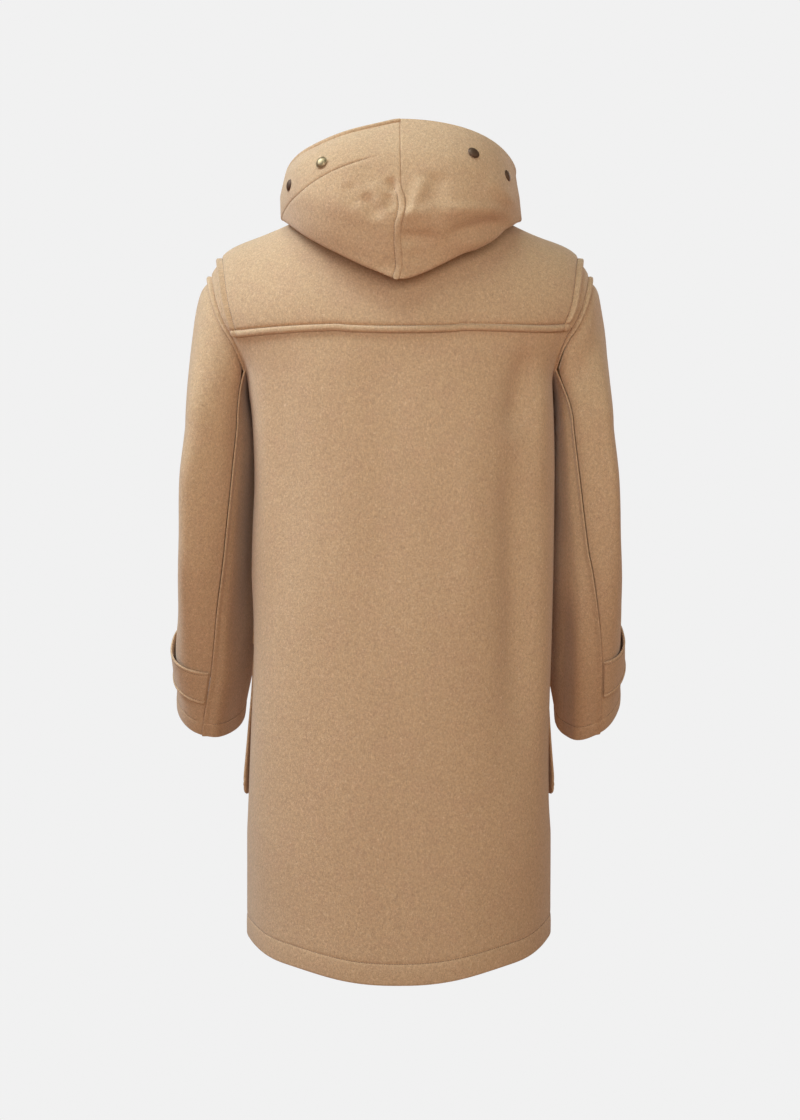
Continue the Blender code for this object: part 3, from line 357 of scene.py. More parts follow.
def arm_span(turn, back):
    """Half width of the body's curve through the armhole, and its angle."""
    x, depth, z = armhole_low(turn, back)
    square = read(GIRTHS, "square", z)
    share = (1 - (depth / body_depth(z, back)) ** square) ** (1 / square)
    return x / share, np.arcsin(np.clip(share, 0, 1) ** (square / 2)), z


def column_share(top_x):
    """Where a column that ends at top_x runs on the body: 0 centre, 1 side."""
    reach = np.abs(top_x)
    inner = reach * YOKE_CORNER_X / YOKE_SIDE_X
    edge = (reach - YOKE_SIDE_X) / (SHOULDER_X - YOKE_SIDE_X)
    outer = YOKE_CORNER_X + (ARM_X - YOKE_CORNER_X) * edge
    row_x = np.where(reach <= YOKE_SIDE_X, inner, outer)
    width, end, z = arm_span(0.0, True)
    angle = np.arcsin(np.clip(row_x / width, 0, 1) ** (read(GIRTHS, "square", z) / 2))
    return np.sign(top_x) * angle / end


def drape(x, z):
    height = 0
    for fold in DRAPES:
        t = (z - fold.z_top) / (fold.z_low - fold.z_top)
        middle = fold.x_top + (fold.x_low - fold.x_top) * t
        fade = ease(t / DRAPE_START) * ease((1 - t) / DRAPE_END)
        height = height + fold.height * fade * np.exp(-((x - middle) / fold.width) ** 2)
    return height


def body_curve(angle, width, depth, square, share, z, back):
    """Across and out along the body's curve, with the drapes of the back."""
    x = width * power(np.sin(angle), 2 / square)
    y = depth * np.abs(np.cos(angle)) ** (2 / square)
    out_x = power(x / width, square - 1) / width
    out_y = (y / depth) ** (square - 1) / depth
    fade = ease(np.cos(share * pi / 2) / DRAPE_SIDE)
    scale = drape(x, z) * fade / np.hypot(out_x, out_y) if back else 0
    return x + out_x * scale, y + out_y * scale


def yoke_rise(share, z):
    """How much higher the back lies here for the bends of the yoke's edge."""
    return read(YOKE_BENDS, "rise", share) * ease(1 - np.abs(z - YOKE_Z) / YOKE_FADE)


def body_low(share, z, back):
    """Body from the hem to the underarm."""
    angle = share * pi / 2
    depth, square = body_depth(z, back), read(GIRTHS, "square", z)
    width = read(GIRTHS, "half_width", z)
    x, y = body_curve(angle, width, depth, square, share, z, back)
    middle = np.abs(np.cos(angle))
    low = ease((UNDERARM_Z - z) / (UNDERARM_Z - HEM_Z)) ** 2
    start, end = HEM_CORNER
    corner = (1 - HEM_BOW) * ease((middle - start) / (end - start))
    drop = HEM_DROP * low * (HEM_BOW * middle ** 8 + corner)
    return points(x + read(GIRTHS, "centre", z), y if back else -y, z - drop)


def body_middle(share, turn, back):
    """Body beside the lower half of the armhole."""
    width, end, z = arm_span(turn, back)
    depth, square = body_depth(z, back), read(GIRTHS, "square", z)
    x, y = body_curve(share * end, width, depth, square, share, z, back)
    return points(x, y if back else -y, z + (yoke_rise(share, z) if back else 0))


def level(share, vee, bow):
    """Rise along a ring from the centre, 0, to the side, 1."""
    edge = np.sqrt(1 + VEE_ROUND ** 2) - VEE_ROUND
    straight = (np.sqrt(share ** 2 + VEE_ROUND ** 2) - VEE_ROUND) / edge
    return vee * straight + bow * share ** 2 + (1 - vee - bow) * share ** SIDE_TURN


def body_crest(top_x, t, back):
    """Body from the yoke's level up to the crest of the shoulders."""
    start = body_middle(column_share(top_x), 0.0, back)
    end_z = read(SHOULDER, "z", np.abs(top_x))
    table = BACK_SPRING if back else FRONT_SPRING
    spring = {name: read(table, name, np.abs(top_x)) for name in Spring._fields[1:]}
    side, way = np.sign(top_x), 1 if back else -1
    x = hermite(start[..., 0], side * spring["spread"], top_x,
                side * spring["gather"], t)
    y = hermite(start[..., 1], way * spring["out"], 0.0, -way * spring["over"], t)
    z = hermite(YOKE_Z, spring["rise"], end_z, spring["lift"], t)
    z = z + (yoke_rise(column_share(top_x), z) if back else 0)
    return points(x, y, z)


def neck_cut(top_x, back):
    """Share of a column at which the neck is cut, 1 from the neck point out."""
    depth = NECK_BACK if back else NECK_FRONT
    wanted = depth * np.sqrt(1 - np.clip(np.abs(top_x) / NECK_X, 0, 1) ** 2)
    low, high = np.zeros_like(top_x), np.ones_like(top_x)
    for _ in range(BISECTIONS):
        middle = (low + high) / 2
        inside = np.abs(body_crest(top_x, middle, back)[..., 1]) < wanted
        low, high = np.where(inside, low, middle), np.where(inside, middle, high)
    return high


BODY_LOW_ROWS, BODY_SIDE_ROWS, BODY_TOP_ROWS = 200, 14, 70
YOKE_ROW = BODY_LOW_ROWS + BODY_SIDE_ROWS
SOFT_SIDE = 0.03           # the softening fades within this distance of an armhole
SOFT_ROWS = 7
SOFT_BELOW, SOFT_SPAN = 6, 30.0      # rows from the yoke's level, and over which


def body_surface(top_x, back):
    """Dense grid of body points, from the hem up to the neck and shoulder."""
    share = column_share(top_x)
    rows = [body_low(share, np.full_like(share, z), back)
            for z in np.linspace(HEM_Z, UNDERARM_Z, BODY_LOW_ROWS + 1)]
    for drop in np.linspace(1, 0, BODY_SIDE_ROWS + 1)[1:]:
        turn = np.arcsin(drop ** (ARM_ROUND / 2)) * 2 / pi
        rows.append(body_middle(share, turn, back))
    cut = neck_cut(top_x, back)
    rows += [body_crest(top_x, t * cut, back)
             for t in np.linspace(0, 1, BODY_TOP_ROWS + 1)[1:]]
    return softened(np.array(rows), top_x)


def softened(grid, top_x):
    """The surface without the turn at the yoke's level, except at the sides."""
    reach = np.arange(-3 * SOFT_ROWS, 3 * SOFT_ROWS + 1)
    weights = np.exp(-(reach / SOFT_ROWS) ** 2)
    weights /= weights.sum()
    rows = np.arange(len(grid))
    soft = sum(w * grid[np.clip(rows + step, 0, len(grid) - 1)]
               for w, step in zip(weights, reach))
    near = np.exp(-((rows - YOKE_ROW + SOFT_BELOW) / SOFT_SPAN) ** 2)
    inside = ease((SHOULDER_X - np.abs(top_x)) / SOFT_SIDE)
    mix = (near[:, None] * inside[None])[..., None]
    return grid * (1 - mix) + soft * mix


# ------------------------------------------------------------------- sleeve
def armhole(step):
    """Armhole of the left side: step 0 underneath, then up the back."""
    step = np.mod(step, 2 * ARMHOLE_HALF)
    back = step <= ARMHOLE_HALF
    rise = np.where(back, step, 2 * ARMHOLE_HALF - step)
    low = np.clip(1 - rise / ARMHOLE_LOW, 0, 1)
    x, y, z = armhole_low(low, back)
    under = points(x, np.where(back, y, -y), z)
    t = np.clip((rise - ARMHOLE_LOW) / (ARMHOLE_HALF - ARMHOLE_LOW), 0, 1)
    top_x = np.full_like(t, SHOULDER_X)
    over = np.where(back[:, None], body_crest(top_x, t, True),
                    body_crest(top_x, t, False))
    return np.where((rise <= ARMHOLE_LOW)[:, None], under, over)


def seam_angle(step, z, side):
    """Angle of a sleeve column: 0 outer side, 90 back."""
    seam = read(SLEEVE, "seam_" + SIDES[side], z)
    upper = (step - BACK_SEAM_STEP) / (FRONT_SEAM_STEP - BACK_SEAM_STEP)
    under = 2 * ARMHOLE_HALF + BACK_SEAM_STEP - FRONT_SEAM_STEP
    lower = (step - FRONT_SEAM_STEP) / under
    return np.where(step <= FRONT_SEAM_STEP, seam + (FRONT_SEAM - seam) * upper,
                    360 + FRONT_SEAM + (seam - 360 - FRONT_SEAM) * lower)


def sleeve_ring(z, angle, side):
    """Point of a sleeve's ring whose centre is at height z, as a left one."""
    middle, lean, roll = (read(SLEEVE, name, z) for name in ("y", "lean", "roll"))
    outer = read(SLEEVE, "outer", z)
    if side < 0:
        outer, roll = outer + read(SLEEVE, "more", z), roll + read(SLEEVE, "turn", z)
    forward = np.abs(middle - lean * SLEEVE_HALF) / body_depth(z, False)
    square = read(GIRTHS, "square", z)
    body = read(GIRTHS, "half_width", z) * (1 - forward ** square) ** (1 / square)
    inner = body + side * read(GIRTHS, "centre", z) + read(SLEEVE, "clear", z)
    turn, tilt = np.radians(angle), np.radians(read(SLEEVE, "tilt", z))
    outward = ease((np.cos(turn) + FLAT_START) / (1 + FLAT_START))
    square = SLEEVE_SQUARE - read(SLEEVE, "flat", z) * outward
    aside = (outer - inner) / 2 * power(np.cos(turn), square)
    across = read(SLEEVE, "half_depth", z) * power(np.sin(turn), square)
    y = middle + aside * lean + across * np.cos(tilt)
    drop = across * np.sin(tilt) - aside * roll
    return points((outer + inner) / 2 + aside, y, z - drop)


SLEEVE_HEAD_DENSE, SLEEVE_DENSE = 60, 130


def sleeve_surface(steps, side):
    """Dense grid of sleeve points from the armhole down to the cuff."""
    start = armhole(steps)
    end = sleeve_ring(SLEEVE_TOP_Z, seam_angle(steps, SLEEVE_TOP_Z, side), side)
    top = read(SHOULDER, "z", SHOULDER_X)
    height = (start[:, 2] - UNDERARM_Z) / (top - UNDERARM_Z)
    out, down = read(HEADS, "out", height), read(HEADS, "down", height)
    length = np.linalg.norm(end - start, axis=-1) * read(HEADS, "reach", height)
    leave = points(out, 0 * out, -down) * length[:, None]
    arrive = points(0 * out, 0 * out, -1 + 0 * out) * length[:, None]
    rows = [hermite(start, leave, end, arrive, t)
            for t in np.linspace(0, 1, SLEEVE_HEAD_DENSE + 1)]
    rows += [sleeve_ring(z, seam_angle(steps, z, side), side)
             for z in np.linspace(SLEEVE_TOP_Z, CUFF_Z, SLEEVE_DENSE + 1)[1:]]
    return np.array(rows)


# --------------------------------------------------------------------- hood
CUT_STEP, ALONG_STEP = 0.02, 0.002      # steps that give the slope at the neck


def neck_seam(side, angles):
    """Points on the body and the yoke that the hood is sewn to."""
    found = []
    for angle in angles:
        back = angle <= 90
        top_x = np.array(side * NECK_X * sin(radians(min(angle, 180 - angle))))
        cut = neck_cut(top_x, back)
        here = body_crest(top_x, cut, back)
        down = body_crest(top_x, cut - CUT_STEP, back) - here
        along = body_crest(top_x + ALONG_STEP, cut, back) - here
        out = unit(np.cross(along, down))
        out *= np.sign(out[2] + 1e-9)
        lift = NECK_GAP + (PLY if angle <= YOKE_TURN else 0)
        if not back:
            lift += overlap_lift(np.abs(top_x))
        found.append(here + out * lift)
    return np.array(found)


def hood_surface(side, angles, places):
    """Hood points: rows are places, 0 at the neck seam, 10 at the brim."""
    turn = np.radians(angles)
    across, along = np.sin(turn), np.cos(turn)
    nodes = np.arange(0, HOOD_END + 1, NECK_STEP)
    seam = neck_seam(side, nodes)
    rings = [points(*(np.interp(angles, nodes, seam[:, k]) for k in range(3)))]
    for ring in HOOD:
        width, vee, bow = ring.half_width, ring.vee_left, ring.bow_left
        if side < 0:
            width, vee, bow = width + ring.wider_right, ring.vee_right, ring.bow_right
        behind = along >= 0
        reach = np.where(behind, across ** (1 - ring.flat), across)
        rear = ring.z_back + (ring.z_side - ring.z_back) * level(reach, vee, bow)
        fore = ring.z_front + (ring.z_side - ring.z_front) * level(across, 0, FRONT_BOW)
        y = np.where(behind, ring.back * along.clip(0) ** (1 - ring.flat),
                     ring.front * along)
        rings.append(points(side * width * reach, y, np.where(behind, rear, fore)))
    rings = np.array(rings)
    return np.array([through(rings, place) for place in places])


# ------------------------------------------------------------------- panels
Panel = namedtuple("Panel", "grid out low top first last")
Spacing = namedtuple("Spacing", "start middle end")
EDGE_STATIONS = (0.0, 0.0002, 0.0006, 0.0011, 0.0018, 0.0030)
GROOVE_STATIONS = (-4, -2, -1, 0, 1, 2, 4)      # in groove widths
# Steps of a piece's grid between its edge lines, down it and across it.
STEPS = {"back": (236, 112), "front": (236, 60), "upper": (128, 76), "under": (128, 34),
         "hood": (150, 104), "pocket": (54, 26), "strap": (10, 60)}


def lengths(grid, axis):
    """Distance from the first row or column to each point."""
    steps = np.linalg.norm(np.diff(grid, axis=axis), axis=-1)
    zero = np.zeros_like(np.take(steps, [0], axis))
    return np.concatenate([zero, np.cumsum(steps, axis=axis)], axis=axis)


def respaced(grid, spacing, axis, stretch=None):
    """The grid with lines at wanted distances from its two opposite edges.

    stretch scales the distances from the last edge, line by line.
    """
    lines = grid if axis == 1 else np.swapaxes(grid, 0, 1)
    gone = lengths(lines, 1)
    result = []
    stretch = np.ones(len(lines)) if stretch is None else stretch
    for line, distance, scale in zip(lines, gone, stretch):
        total = distance[-1]
        start = np.array(spacing.start)
        end = total - scale * np.array(spacing.end)[::-1]
        middle = np.linspace(start[-1], end[0], spacing.middle + 1)[1:-1]
        wanted = np.concatenate([start, middle, end])
        result.append(points(*(np.interp(wanted, distance, line[:, k]) for k in range(3))))
    result = np.array(result)
    return result if axis == 1 else np.swapaxes(result, 0, 1)


def panel_of(grid):
    """A panel's grid with its normals and the distances from its edges."""
    out = unit(np.cross(np.gradient(grid, axis=1), np.gradient(grid, axis=0)))
    down, across = lengths(grid, 0), lengths(grid, 1)
    return Panel(grid, out, down, down[-1:] - down, across, across[:, -1:] - across)


def stations(*stitches):
    """Distances of the lines near an edge with these stitch lines."""
    found = list(EDGE_STATIONS)
    for stitch in stitches:
        found += [stitch + step * GROOVE_WIDTH for step in GROOVE_STATIONS]
        if stitch > WIDE_STITCH:
            found += [(EDGE_STATIONS[-1] + stitch) / 2]
    return tuple(sorted(distance for distance in found if distance >= 0))


def laid_out(grid, kind, rows, columns):
    """The grid with lines along the stitches near its edges, both ways."""
    for axis, (start, end) in enumerate((rows, columns)):
        spacing = Spacing(stations(*start), STEPS[kind][axis], stations(*end))
        grid = respaced(grid, spacing, axis)
    return grid


def rolled(distance):
    """0 inside a panel, and up to 1 where its edge has turned under."""
    t = np.clip(distance / EDGE_ROLL, 0, 1)
    return 1 - np.sqrt(1 - (1 - t) ** 2)


def between(z, low, high):
    return ease((z - low) / SEAM_FADE + 0.5) * ease((high - z) / SEAM_FADE + 0.5)


def sewn_relief(panel, seams):
    """How far its seams puff the cloth up, and how far they press it down."""
    rise, dent = 0 * panel.low, 0 * panel.low
    for seam in seams:
        distance = getattr(panel, seam.edge)
        t = np.clip(distance / seam.distance, 0, 1)
        here = between(panel.grid[..., 2], seam.z_low, seam.z_high)
        if not seam.groove:
            rise = rise + here * seam.puff * ease(1 - t)
            continue
        rise = np.maximum(rise, here * seam.puff * np.sqrt(np.sin(pi * t).clip(0)))
        away = np.abs(distance - seam.distance)
        core = (1 - SHOULDER_SHARE) * np.exp(-(away / GROOVE_WIDTH) ** 2)
        slope = SHOULDER_SHARE * np.exp(-(away / SHOULDER_WIDTH) ** 2)
        dent = np.maximum(dent, here * seam.groove * (core + slope))
    return rise, dent


# How high each kind of cloth wanders, over what length, and its seed.
Waver = namedtuple("Waver", "height length seed")
WAVERS = {"back": Waver(0.0008, 0.16, 3), "front": Waver(0.0008, 0.16, 5),
          "yoke": Waver(0.0006, 0.12, 11), "sleeve": Waver(0.0007, 0.11, 21),
          "hood": Waver(0.0008, 0.10, 31)}
WAVES, WAVE_SPREAD = 7, (0.6, 1.6)


def wander(grid, kind, side=0):
    """Slow rise and fall over the cloth, the same each time."""
    waver = WAVERS[kind]
    source = np.random.default_rng(waver.seed + side)
    total = 0
    for _ in range(WAVES):
        way = source.normal(size=3)
        way *= source.uniform(*WAVE_SPREAD) / np.linalg.norm(way) * 2 * pi / waver.length
        total = total + np.sin(grid @ way + source.uniform(0, 2 * pi))
    return waver.height * (total / 4)


Crease = namedtuple("Crease", "x_start z_start x_end z_end width height")
CREASE_START, CREASE_END = 0.3, 0.35      # shares of its length over which it fades


def creased(grid, creases):
    """Soft ridges and troughs at the back, placed by their ends' x and z."""
    height = 0 * grid[..., 0]
    for crease in creases:
        start = np.array((crease.x_start, crease.z_start))
        way = np.array((crease.x_end, crease.z_end)) - start
        length = np.hypot(*way)
        way /= length
        gone = grid[..., (0, 2)] - start
        along = gone @ way / length
        aside = gone @ np.array((-way[1], way[0]))
        fade = ease(along / CREASE_START) * ease((1 - along) / CREASE_END)
        height += crease.height * fade * np.exp(-(aside / crease.width) ** 2)
    return height * (grid[..., 1] > 0)


# --------------------------------------------------------------- mesh maker
def new_piece(name, vertices, faces, material, smooth_angle=50):
    mesh = bpy.data.meshes.new(name)
    mesh.from_pydata(vertices, [], faces)
    mesh.materials.append(material)
    mesh.shade_smooth()
    mesh.set_sharp_from_angle(angle=radians(smooth_angle))
    piece = bpy.data.objects.new(name, mesh)
    bpy.context.scene.collection.objects.link(piece)
    return piece


def grid_quads(rows, columns, start=0):
    """Corner numbers of the quads of a grid whose outside is to the front."""
    here = start + np.arange(rows * columns).reshape(rows, columns)
    return np.stack([here[:-1, :-1], here[:-1, 1:], here[1:, 1:], here[1:, :-1]],
                    axis=-1).reshape(-1, 4)


def shell_parts(outer, inner, start=0):
    """Vertices and faces of a closed shell between two grids."""
    rows, columns = outer.shape[:2]
    size = rows * columns
    vertices = np.concatenate([outer.reshape(-1, 3), inner.reshape(-1, 3)])
    faces = [grid_quads(rows, columns, start),
             grid_quads(rows, columns, start + size)[:, ::-1]]
    here = start + np.arange(size).reshape(rows, columns)
    for line in (here[0], here[:, -1], here[-1, ::-1], here[::-1, 0]):
        faces.append(np.stack([line[1:], line[:-1], line[:-1] + size, line[1:] + size],
                              axis=-1))
    return vertices, np.concatenate(faces)


def cloth_piece(name, layers):
    """One wool piece from (outer, inner) grids, in place of its solid."""
    vertices, faces, count = [], [], 0
    for outer, inner in layers:
        made, quads = shell_parts(outer, inner, count)
        vertices.append(made)
        faces.append(quads)
        count += len(made)
    piece = new_piece(name + "_wool", np.concatenate(vertices).tolist(),
                      np.concatenate(faces).tolist(), bpy.data.materials["camel_wool"])
    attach(piece, "root")
    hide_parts(name)
    return piece


THINNEST = 0.0004


def faces_of(panel, height, dent=0.0, turned=0.0, thickness=CLOTH):
    """Outer and inner grids of a panel, with every edge rolled under."""
    roll = 0
    for distance in (panel.low, panel.top, panel.first, panel.last):
        roll = np.maximum(roll, rolled(distance))
    half = thickness / 2
    above = height - dent - roll * half
    below = height - thickness - turned + roll * (half + turned)
    return (panel.grid + panel.out * above[..., None],
            panel.grid + panel.out * np.minimum(below, above - THINNEST)[..., None])


# ----------------------------------------------------------------- stitches
Seat = namedtuple("Seat", "line out")
seats = {}


def stitch_seat(panel, outer, seam):
    """Line on a panel's outside at a seam's distance from its edge."""
    distance, out = getattr(panel, seam.edge), panel.out
    others = (panel.low, panel.top)
    if seam.edge in ("low", "top"):
        distance, others = distance.T, (panel.first.T, panel.last.T)
        outer, out = np.swapaxes(outer, 0, 1), np.swapaxes(out, 0, 1)
    line, facing = [], []
    for i, row in enumerate(distance):
        order = slice(None) if row[0] < row[-1] else slice(None, None, -1)
        if row.max() < seam.distance:
            continue
        place = [np.interp(seam.distance, row[order], outer[i, order, k]) for k in range(3)]
        near = min(np.interp(seam.distance, row[order], side[i, order]) for side in others)
        if near < min(seam.distance, CORNER_CLEAR) * CORNER_SHARE:
            continue
        if not seam.z_low < place[2] < seam.z_high:
            continue
        line.append(place)
        facing.append([np.interp(seam.distance, row[order], out[i, order, k])
                       for k in range(3)])
    return Seat(np.array(line), np.array(facing))


def sew(group, panel, outer, seams):
    for seam in seams:
        if not seam.groove:
            continue
        seat = stitch_seat(panel, outer, seam)
        if len(seat.line) > 2:
            seats.setdefault(group, []).append(seat)


STITCH_SIDES = 5
STITCH_RISE = 0.15         # how far a stitch is lifted, in thread radii
STITCH_AHEAD = 0.001       # step that gives the way a stitch runs
STITCH_PROFILE = ((-0.5, 0.35, -0.9), (-0.36, 0.9, 0.0), (0.0, 1.0, 0.35),
                  (0.36, 0.9, 0.0), (0.5, 0.35, -0.9))


def stitch_shape():
    """Ring points of one stitch: along, aside and up, with its ends sunk."""
    angles = np.arange(STITCH_SIDES) * 2 * pi / STITCH_SIDES
    shape = []
    for along, radius, up in STITCH_PROFILE:
        for angle in angles:
            shape.append((along * STITCH_LENGTH,
                          np.cos(angle) * radius * THREAD_RADIUS,
                          (np.sin(angle) * radius + up + STITCH_RISE) * THREAD_RADIUS))
    return np.array(shape)


def tube_faces(rings, sides):
    """Faces round a tube, from each ring of points to the next."""
    return [(ring + (k + 1) % sides, ring + k, ring + sides + k, ring + sides + (k + 1) % sides)
            for ring in range(0, (rings - 1) * sides, sides) for k in range(sides)]


def stitch_faces():
    rings = len(STITCH_PROFILE)
    return [*tube_faces(rings, STITCH_SIDES), tuple(range(STITCH_SIDES))[::-1],
            tuple((rings - 1) * STITCH_SIDES + k for k in range(STITCH_SIDES))]


def add_stitches():
    """Every stitch line as thread, one object for each group of seams."""
    shape, pattern = stitch_shape(), stitch_faces()
    for group, lines in seats.items():
        vertices, faces = [], []
        for seat in lines:
            gone = lengths(seat.line[None], 1)[0]
            count = int(gone[-1] / STITCH_PITCH)
            places = (np.arange(count) + 0.5) * gone[-1] / count
            spot, ahead, out = (points(*(np.interp(where, gone, of[:, k]) for k in range(3)))
                                for where, of in ((places, seat.line),
                                                  (places + STITCH_AHEAD, seat.line),
                                                  (places, seat.out)))
            along = unit(ahead - spot)
            out = unit(out)
            aside = np.cross(out, along)
            for here, a, b, c in zip(spot, along, aside, out):
                start = len(vertices) * len(shape)
                vertices.append(here + shape @ np.array((a, b, c)))
                faces += [tuple(start + i for i in face) for face in pattern]
        piece = new_piece(group, np.concatenate(vertices).tolist(), faces,
                          bpy.data.materials["sewing_thread"], ROUND_SMOOTH)
        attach(piece, "root")


# ------------------------------------------------------------- cloth pieces
def overlap_lift(x):
    """Height of the left front over the right one, by column."""
    return PLY * ease((NECK_X - x) / (NECK_X - LAP_X))


JOINED_SHARE = 0.75        # of its parts' widths, that a joined piece's cut takes
LEAST_AREA = 0.3           # least share of length x width that a cut fills


def declare_sheet(piece, panels):
    """State the flat size that the cloth of a piece was cut to."""
    width = max(float(panel.first[:, -1].max()) for panel in panels)
    length = max(float(panel.low[-1].max()) for panel in panels)
    if len(panels) > 1:
        joined = sum(float(panel.first[:, -1].max()) for panel in panels)
        width = max(width, joined * JOINED_SHARE)
    area = 0.0
    for panel in panels:
        across = np.cross(panel.grid[1:, 1:] - panel.grid[:-1, :-1],
                          panel.grid[1:, :-1] - panel.grid[:-1, 1:])
        area += float(np.linalg.norm(across, axis=-1).sum() / 2)
    area = min(max(area, LEAST_AREA * width * length), width * length)
    print(f"cut {piece.name}: {width:.3f} x {length:.3f} m, {area:.4f} m2")


def finish_cloth(name, panel, height, seams, group, dent, turned=0.0):
    """Make a piece of one panel, state its cut and keep its stitch lines."""
    outer, inner = faces_of(panel, height, dent, turned)
    piece = cloth_piece(name, [(outer, inner)])
    declare_sheet(piece, [panel])
    sew(group, panel, outer, seams)


ARMHOLE_PUFF, ARMHOLE_GROOVE = 0.0028, 0.0030
ARMHOLE_LOW_Z = UNDERARM_Z + 0.006
ARMHOLE_SEWN = ARMHOLE_STITCH, ARMHOLE_PUFF, ARMHOLE_GROOVE, ARMHOLE_LOW_Z
BACK_SEWN = (Sewn("low", HEM_STITCH), Sewn("first", *ARMHOLE_SEWN),
             Sewn("last", *ARMHOLE_SEWN))
BACK_CREASES = (
    Crease(-0.170, -0.190, -0.143, -0.330, 0.017, -0.0085),
    Crease(-0.143, -0.300, -0.154, -0.720, 0.019, -0.0075),
    Crease(-0.186, -0.215, -0.176, -0.420, 0.013, 0.0040),
    Crease(-0.182, -0.360, -0.184, -0.820, 0.014, 0.0030),
    Crease(-0.095, -0.260, -0.085, -0.620, 0.018, 0.0018),
    Crease(0.174, -0.23, 0.176, -0.50, 0.012, 0.0016),
)
HEM_SWING, HEM_SWING_HEIGHT = 0.012, 0.16   # how far the hem's corners swing forward
HEM_SWING_START = 0.35     # the share of the half width from which they do


def swung(grid):
    """The panel of a body grid whose hem swings forward towards its sides."""
    panel = panel_of(grid)
    side = np.abs(grid[..., 0] / UNDERARM_X).clip(0, 1)
    aside = ease((side - HEM_SWING_START) / (1 - HEM_SWING_START))
    grid[..., 1] -= HEM_SWING * ease(1 - panel.low / HEM_SWING_HEIGHT) * aside
    return panel_of(grid)


# How far the body's sides draw in behind the pockets, by height.
Draw = namedtuple("Draw", "z left right")
SIDE_DRAWS = (Draw(-0.84, 0.0, 0.0), Draw(-0.79, 0.0030, 0.0034), Draw(-0.76, 0.0048, 0.0036),
              Draw(-0.65, 0.0090, 0.0045), Draw(-0.58, 0.0070, 0.0030), Draw(-0.50, 0.0, 0.0))
POCKET_DRAWS = (Draw(-0.77, 0.0, 0.0), Draw(-0.72, 0.0025, 0.0022),
                Draw(-0.65, 0.0050, 0.0040), Draw(-0.56, 0.0050, 0.0040))
SIDE_DRAW_WIDTH = 0.090


def side_draw(panel):
    """Height of the cloth beside the side seams, which draw in a little."""
    z = panel.grid[..., 2]
    near = np.minimum(panel.first, panel.last)
    drawn = np.where(panel.grid[..., 0] > 0, read(SIDE_DRAWS, "left", z),
                     read(SIDE_DRAWS, "right", z))
    return -drawn * ease(1 - near / SIDE_DRAW_WIDTH)


BACK_COLUMNS, FRONT_COLUMNS = 241, 141


def add_back():
    top_x = np.linspace(SHOULDER_X, -SHOULDER_X, BACK_COLUMNS)
    grid = laid_out(body_surface(top_x, True), "back", ((HEM_STITCH,), ()),
                    ((ARMHOLE_STITCH,), (ARMHOLE_STITCH,)))
    panel = swung(grid)
    rise, dent = sewn_relief(panel, BACK_SEWN)
    height = rise + wander(grid, "back")
    height = height + creased(grid, BACK_CREASES) + side_draw(panel)
    finish_cloth("back", panel, height, BACK_SEWN, "stitching_body",
                 dent)


FRONT_EDGE = {1: "first", -1: "last"}
FRONT_SIDE = {1: "last", -1: "first"}


def add_front(side):
    label = SIDES[side]
    top_x = np.linspace(-LAP_X, SHOULDER_X, FRONT_COLUMNS)
    if side < 0:
        top_x = -top_x[::-1]
    sides = {FRONT_EDGE[side]: (FRONT_STITCH,), FRONT_SIDE[side]: (ARMHOLE_STITCH,)}
    grid = laid_out(body_surface(top_x, False), "front", ((HEM_STITCH,), ()),
                    (sides["first"], sides["last"]))
    panel = swung(grid)
    seams = (Sewn("low", HEM_STITCH), Sewn(FRONT_EDGE[side], FRONT_STITCH),
             Sewn(FRONT_SIDE[side], *ARMHOLE_SEWN))
    rise, dent = sewn_relief(panel, seams)
    height = rise + wander(grid, "front", side)
    height = height + side_draw(panel) * (np.abs(grid[..., 0]) > NECK_X)
    if side > 0:
        height = height + overlap_lift(grid[..., 0])
    finish_cloth(f"front_{label}", panel, height, seams, "stitching_fronts", dent)


# --------------------------------------------------------------------- yoke
YOKE_PUFF, YOKE_GROOVE = 0.0030, 0.0030
YOKE_COLUMNS, YOKE_STEPS = 61, 50
YOKE_TOP_LINES = 0.0, 0.0015, 0.004
YOKE_FRONT_SHARE = 0.98    # of the front edges' x, to keep their own column


def add_yoke():
    """Saddle yoke: back, left front and right front joined over the shoulders."""
    close = YOKE_SIDE_X - np.array(stations(YOKE_STITCH))[::-1]
    half = np.concatenate([np.linspace(0, close[0], YOKE_COLUMNS)[:-1], close])
    lows = Spacing(stations(YOKE_STITCH), YOKE_STEPS, YOKE_TOP_LINES)
    parts = [(body_surface(np.concatenate([half[::-1], -half[1:]]), True),
              ("low", "first", "last"), 0)]
    for side in SIDES:
        columns = half[half >= YOKE_FRONT_X * YOKE_FRONT_SHARE]
        columns = columns if side > 0 else -columns[::-1]
        parts.append((body_surface(columns, False),
                      ("low", "last" if side > 0 else "first"), side))
    layers, panels = [], []
    for surface, edges, side in parts:
        panel = panel_of(respaced(surface[YOKE_ROW:], lows, 0))
        seams = [Sewn(edge, YOKE_STITCH, YOKE_PUFF, YOKE_GROOVE) for edge in edges]
        rise, dent = sewn_relief(panel, seams)
        height = PLY + rise + wander(panel.grid, "yoke")
        if side > 0:
            height = height + overlap_lift(panel.grid[..., 0])
        outer, inner = faces_of(panel._replace(top=panel.top + 1), height, dent)
        layers.append((outer, inner))
        panels.append(panel)
        sew("stitching_yoke", panel, outer, seams)
    piece = cloth_piece("yoke", layers)
    declare_sheet(piece, panels)


# ------------------------------------------------------------------ sleeves
ARMHOLE_DITCH, ARMHOLE_DITCH_WIDTH = 0.0032, 0.010
CUFF_TURN, CUFF_TURN_FADE = 0.0015, 0.004      # the cuff's hem is thicker by this
WELT_PUFF = 0.0022
FRONT_FADE = 0.05          # falls fade within this distance of the front seam
SLEEVE_PARTS = (("upper", BACK_SEAM_STEP, FRONT_SEAM_STEP),
                ("under", FRONT_SEAM_STEP, 2 * ARMHOLE_HALF + BACK_SEAM_STEP))
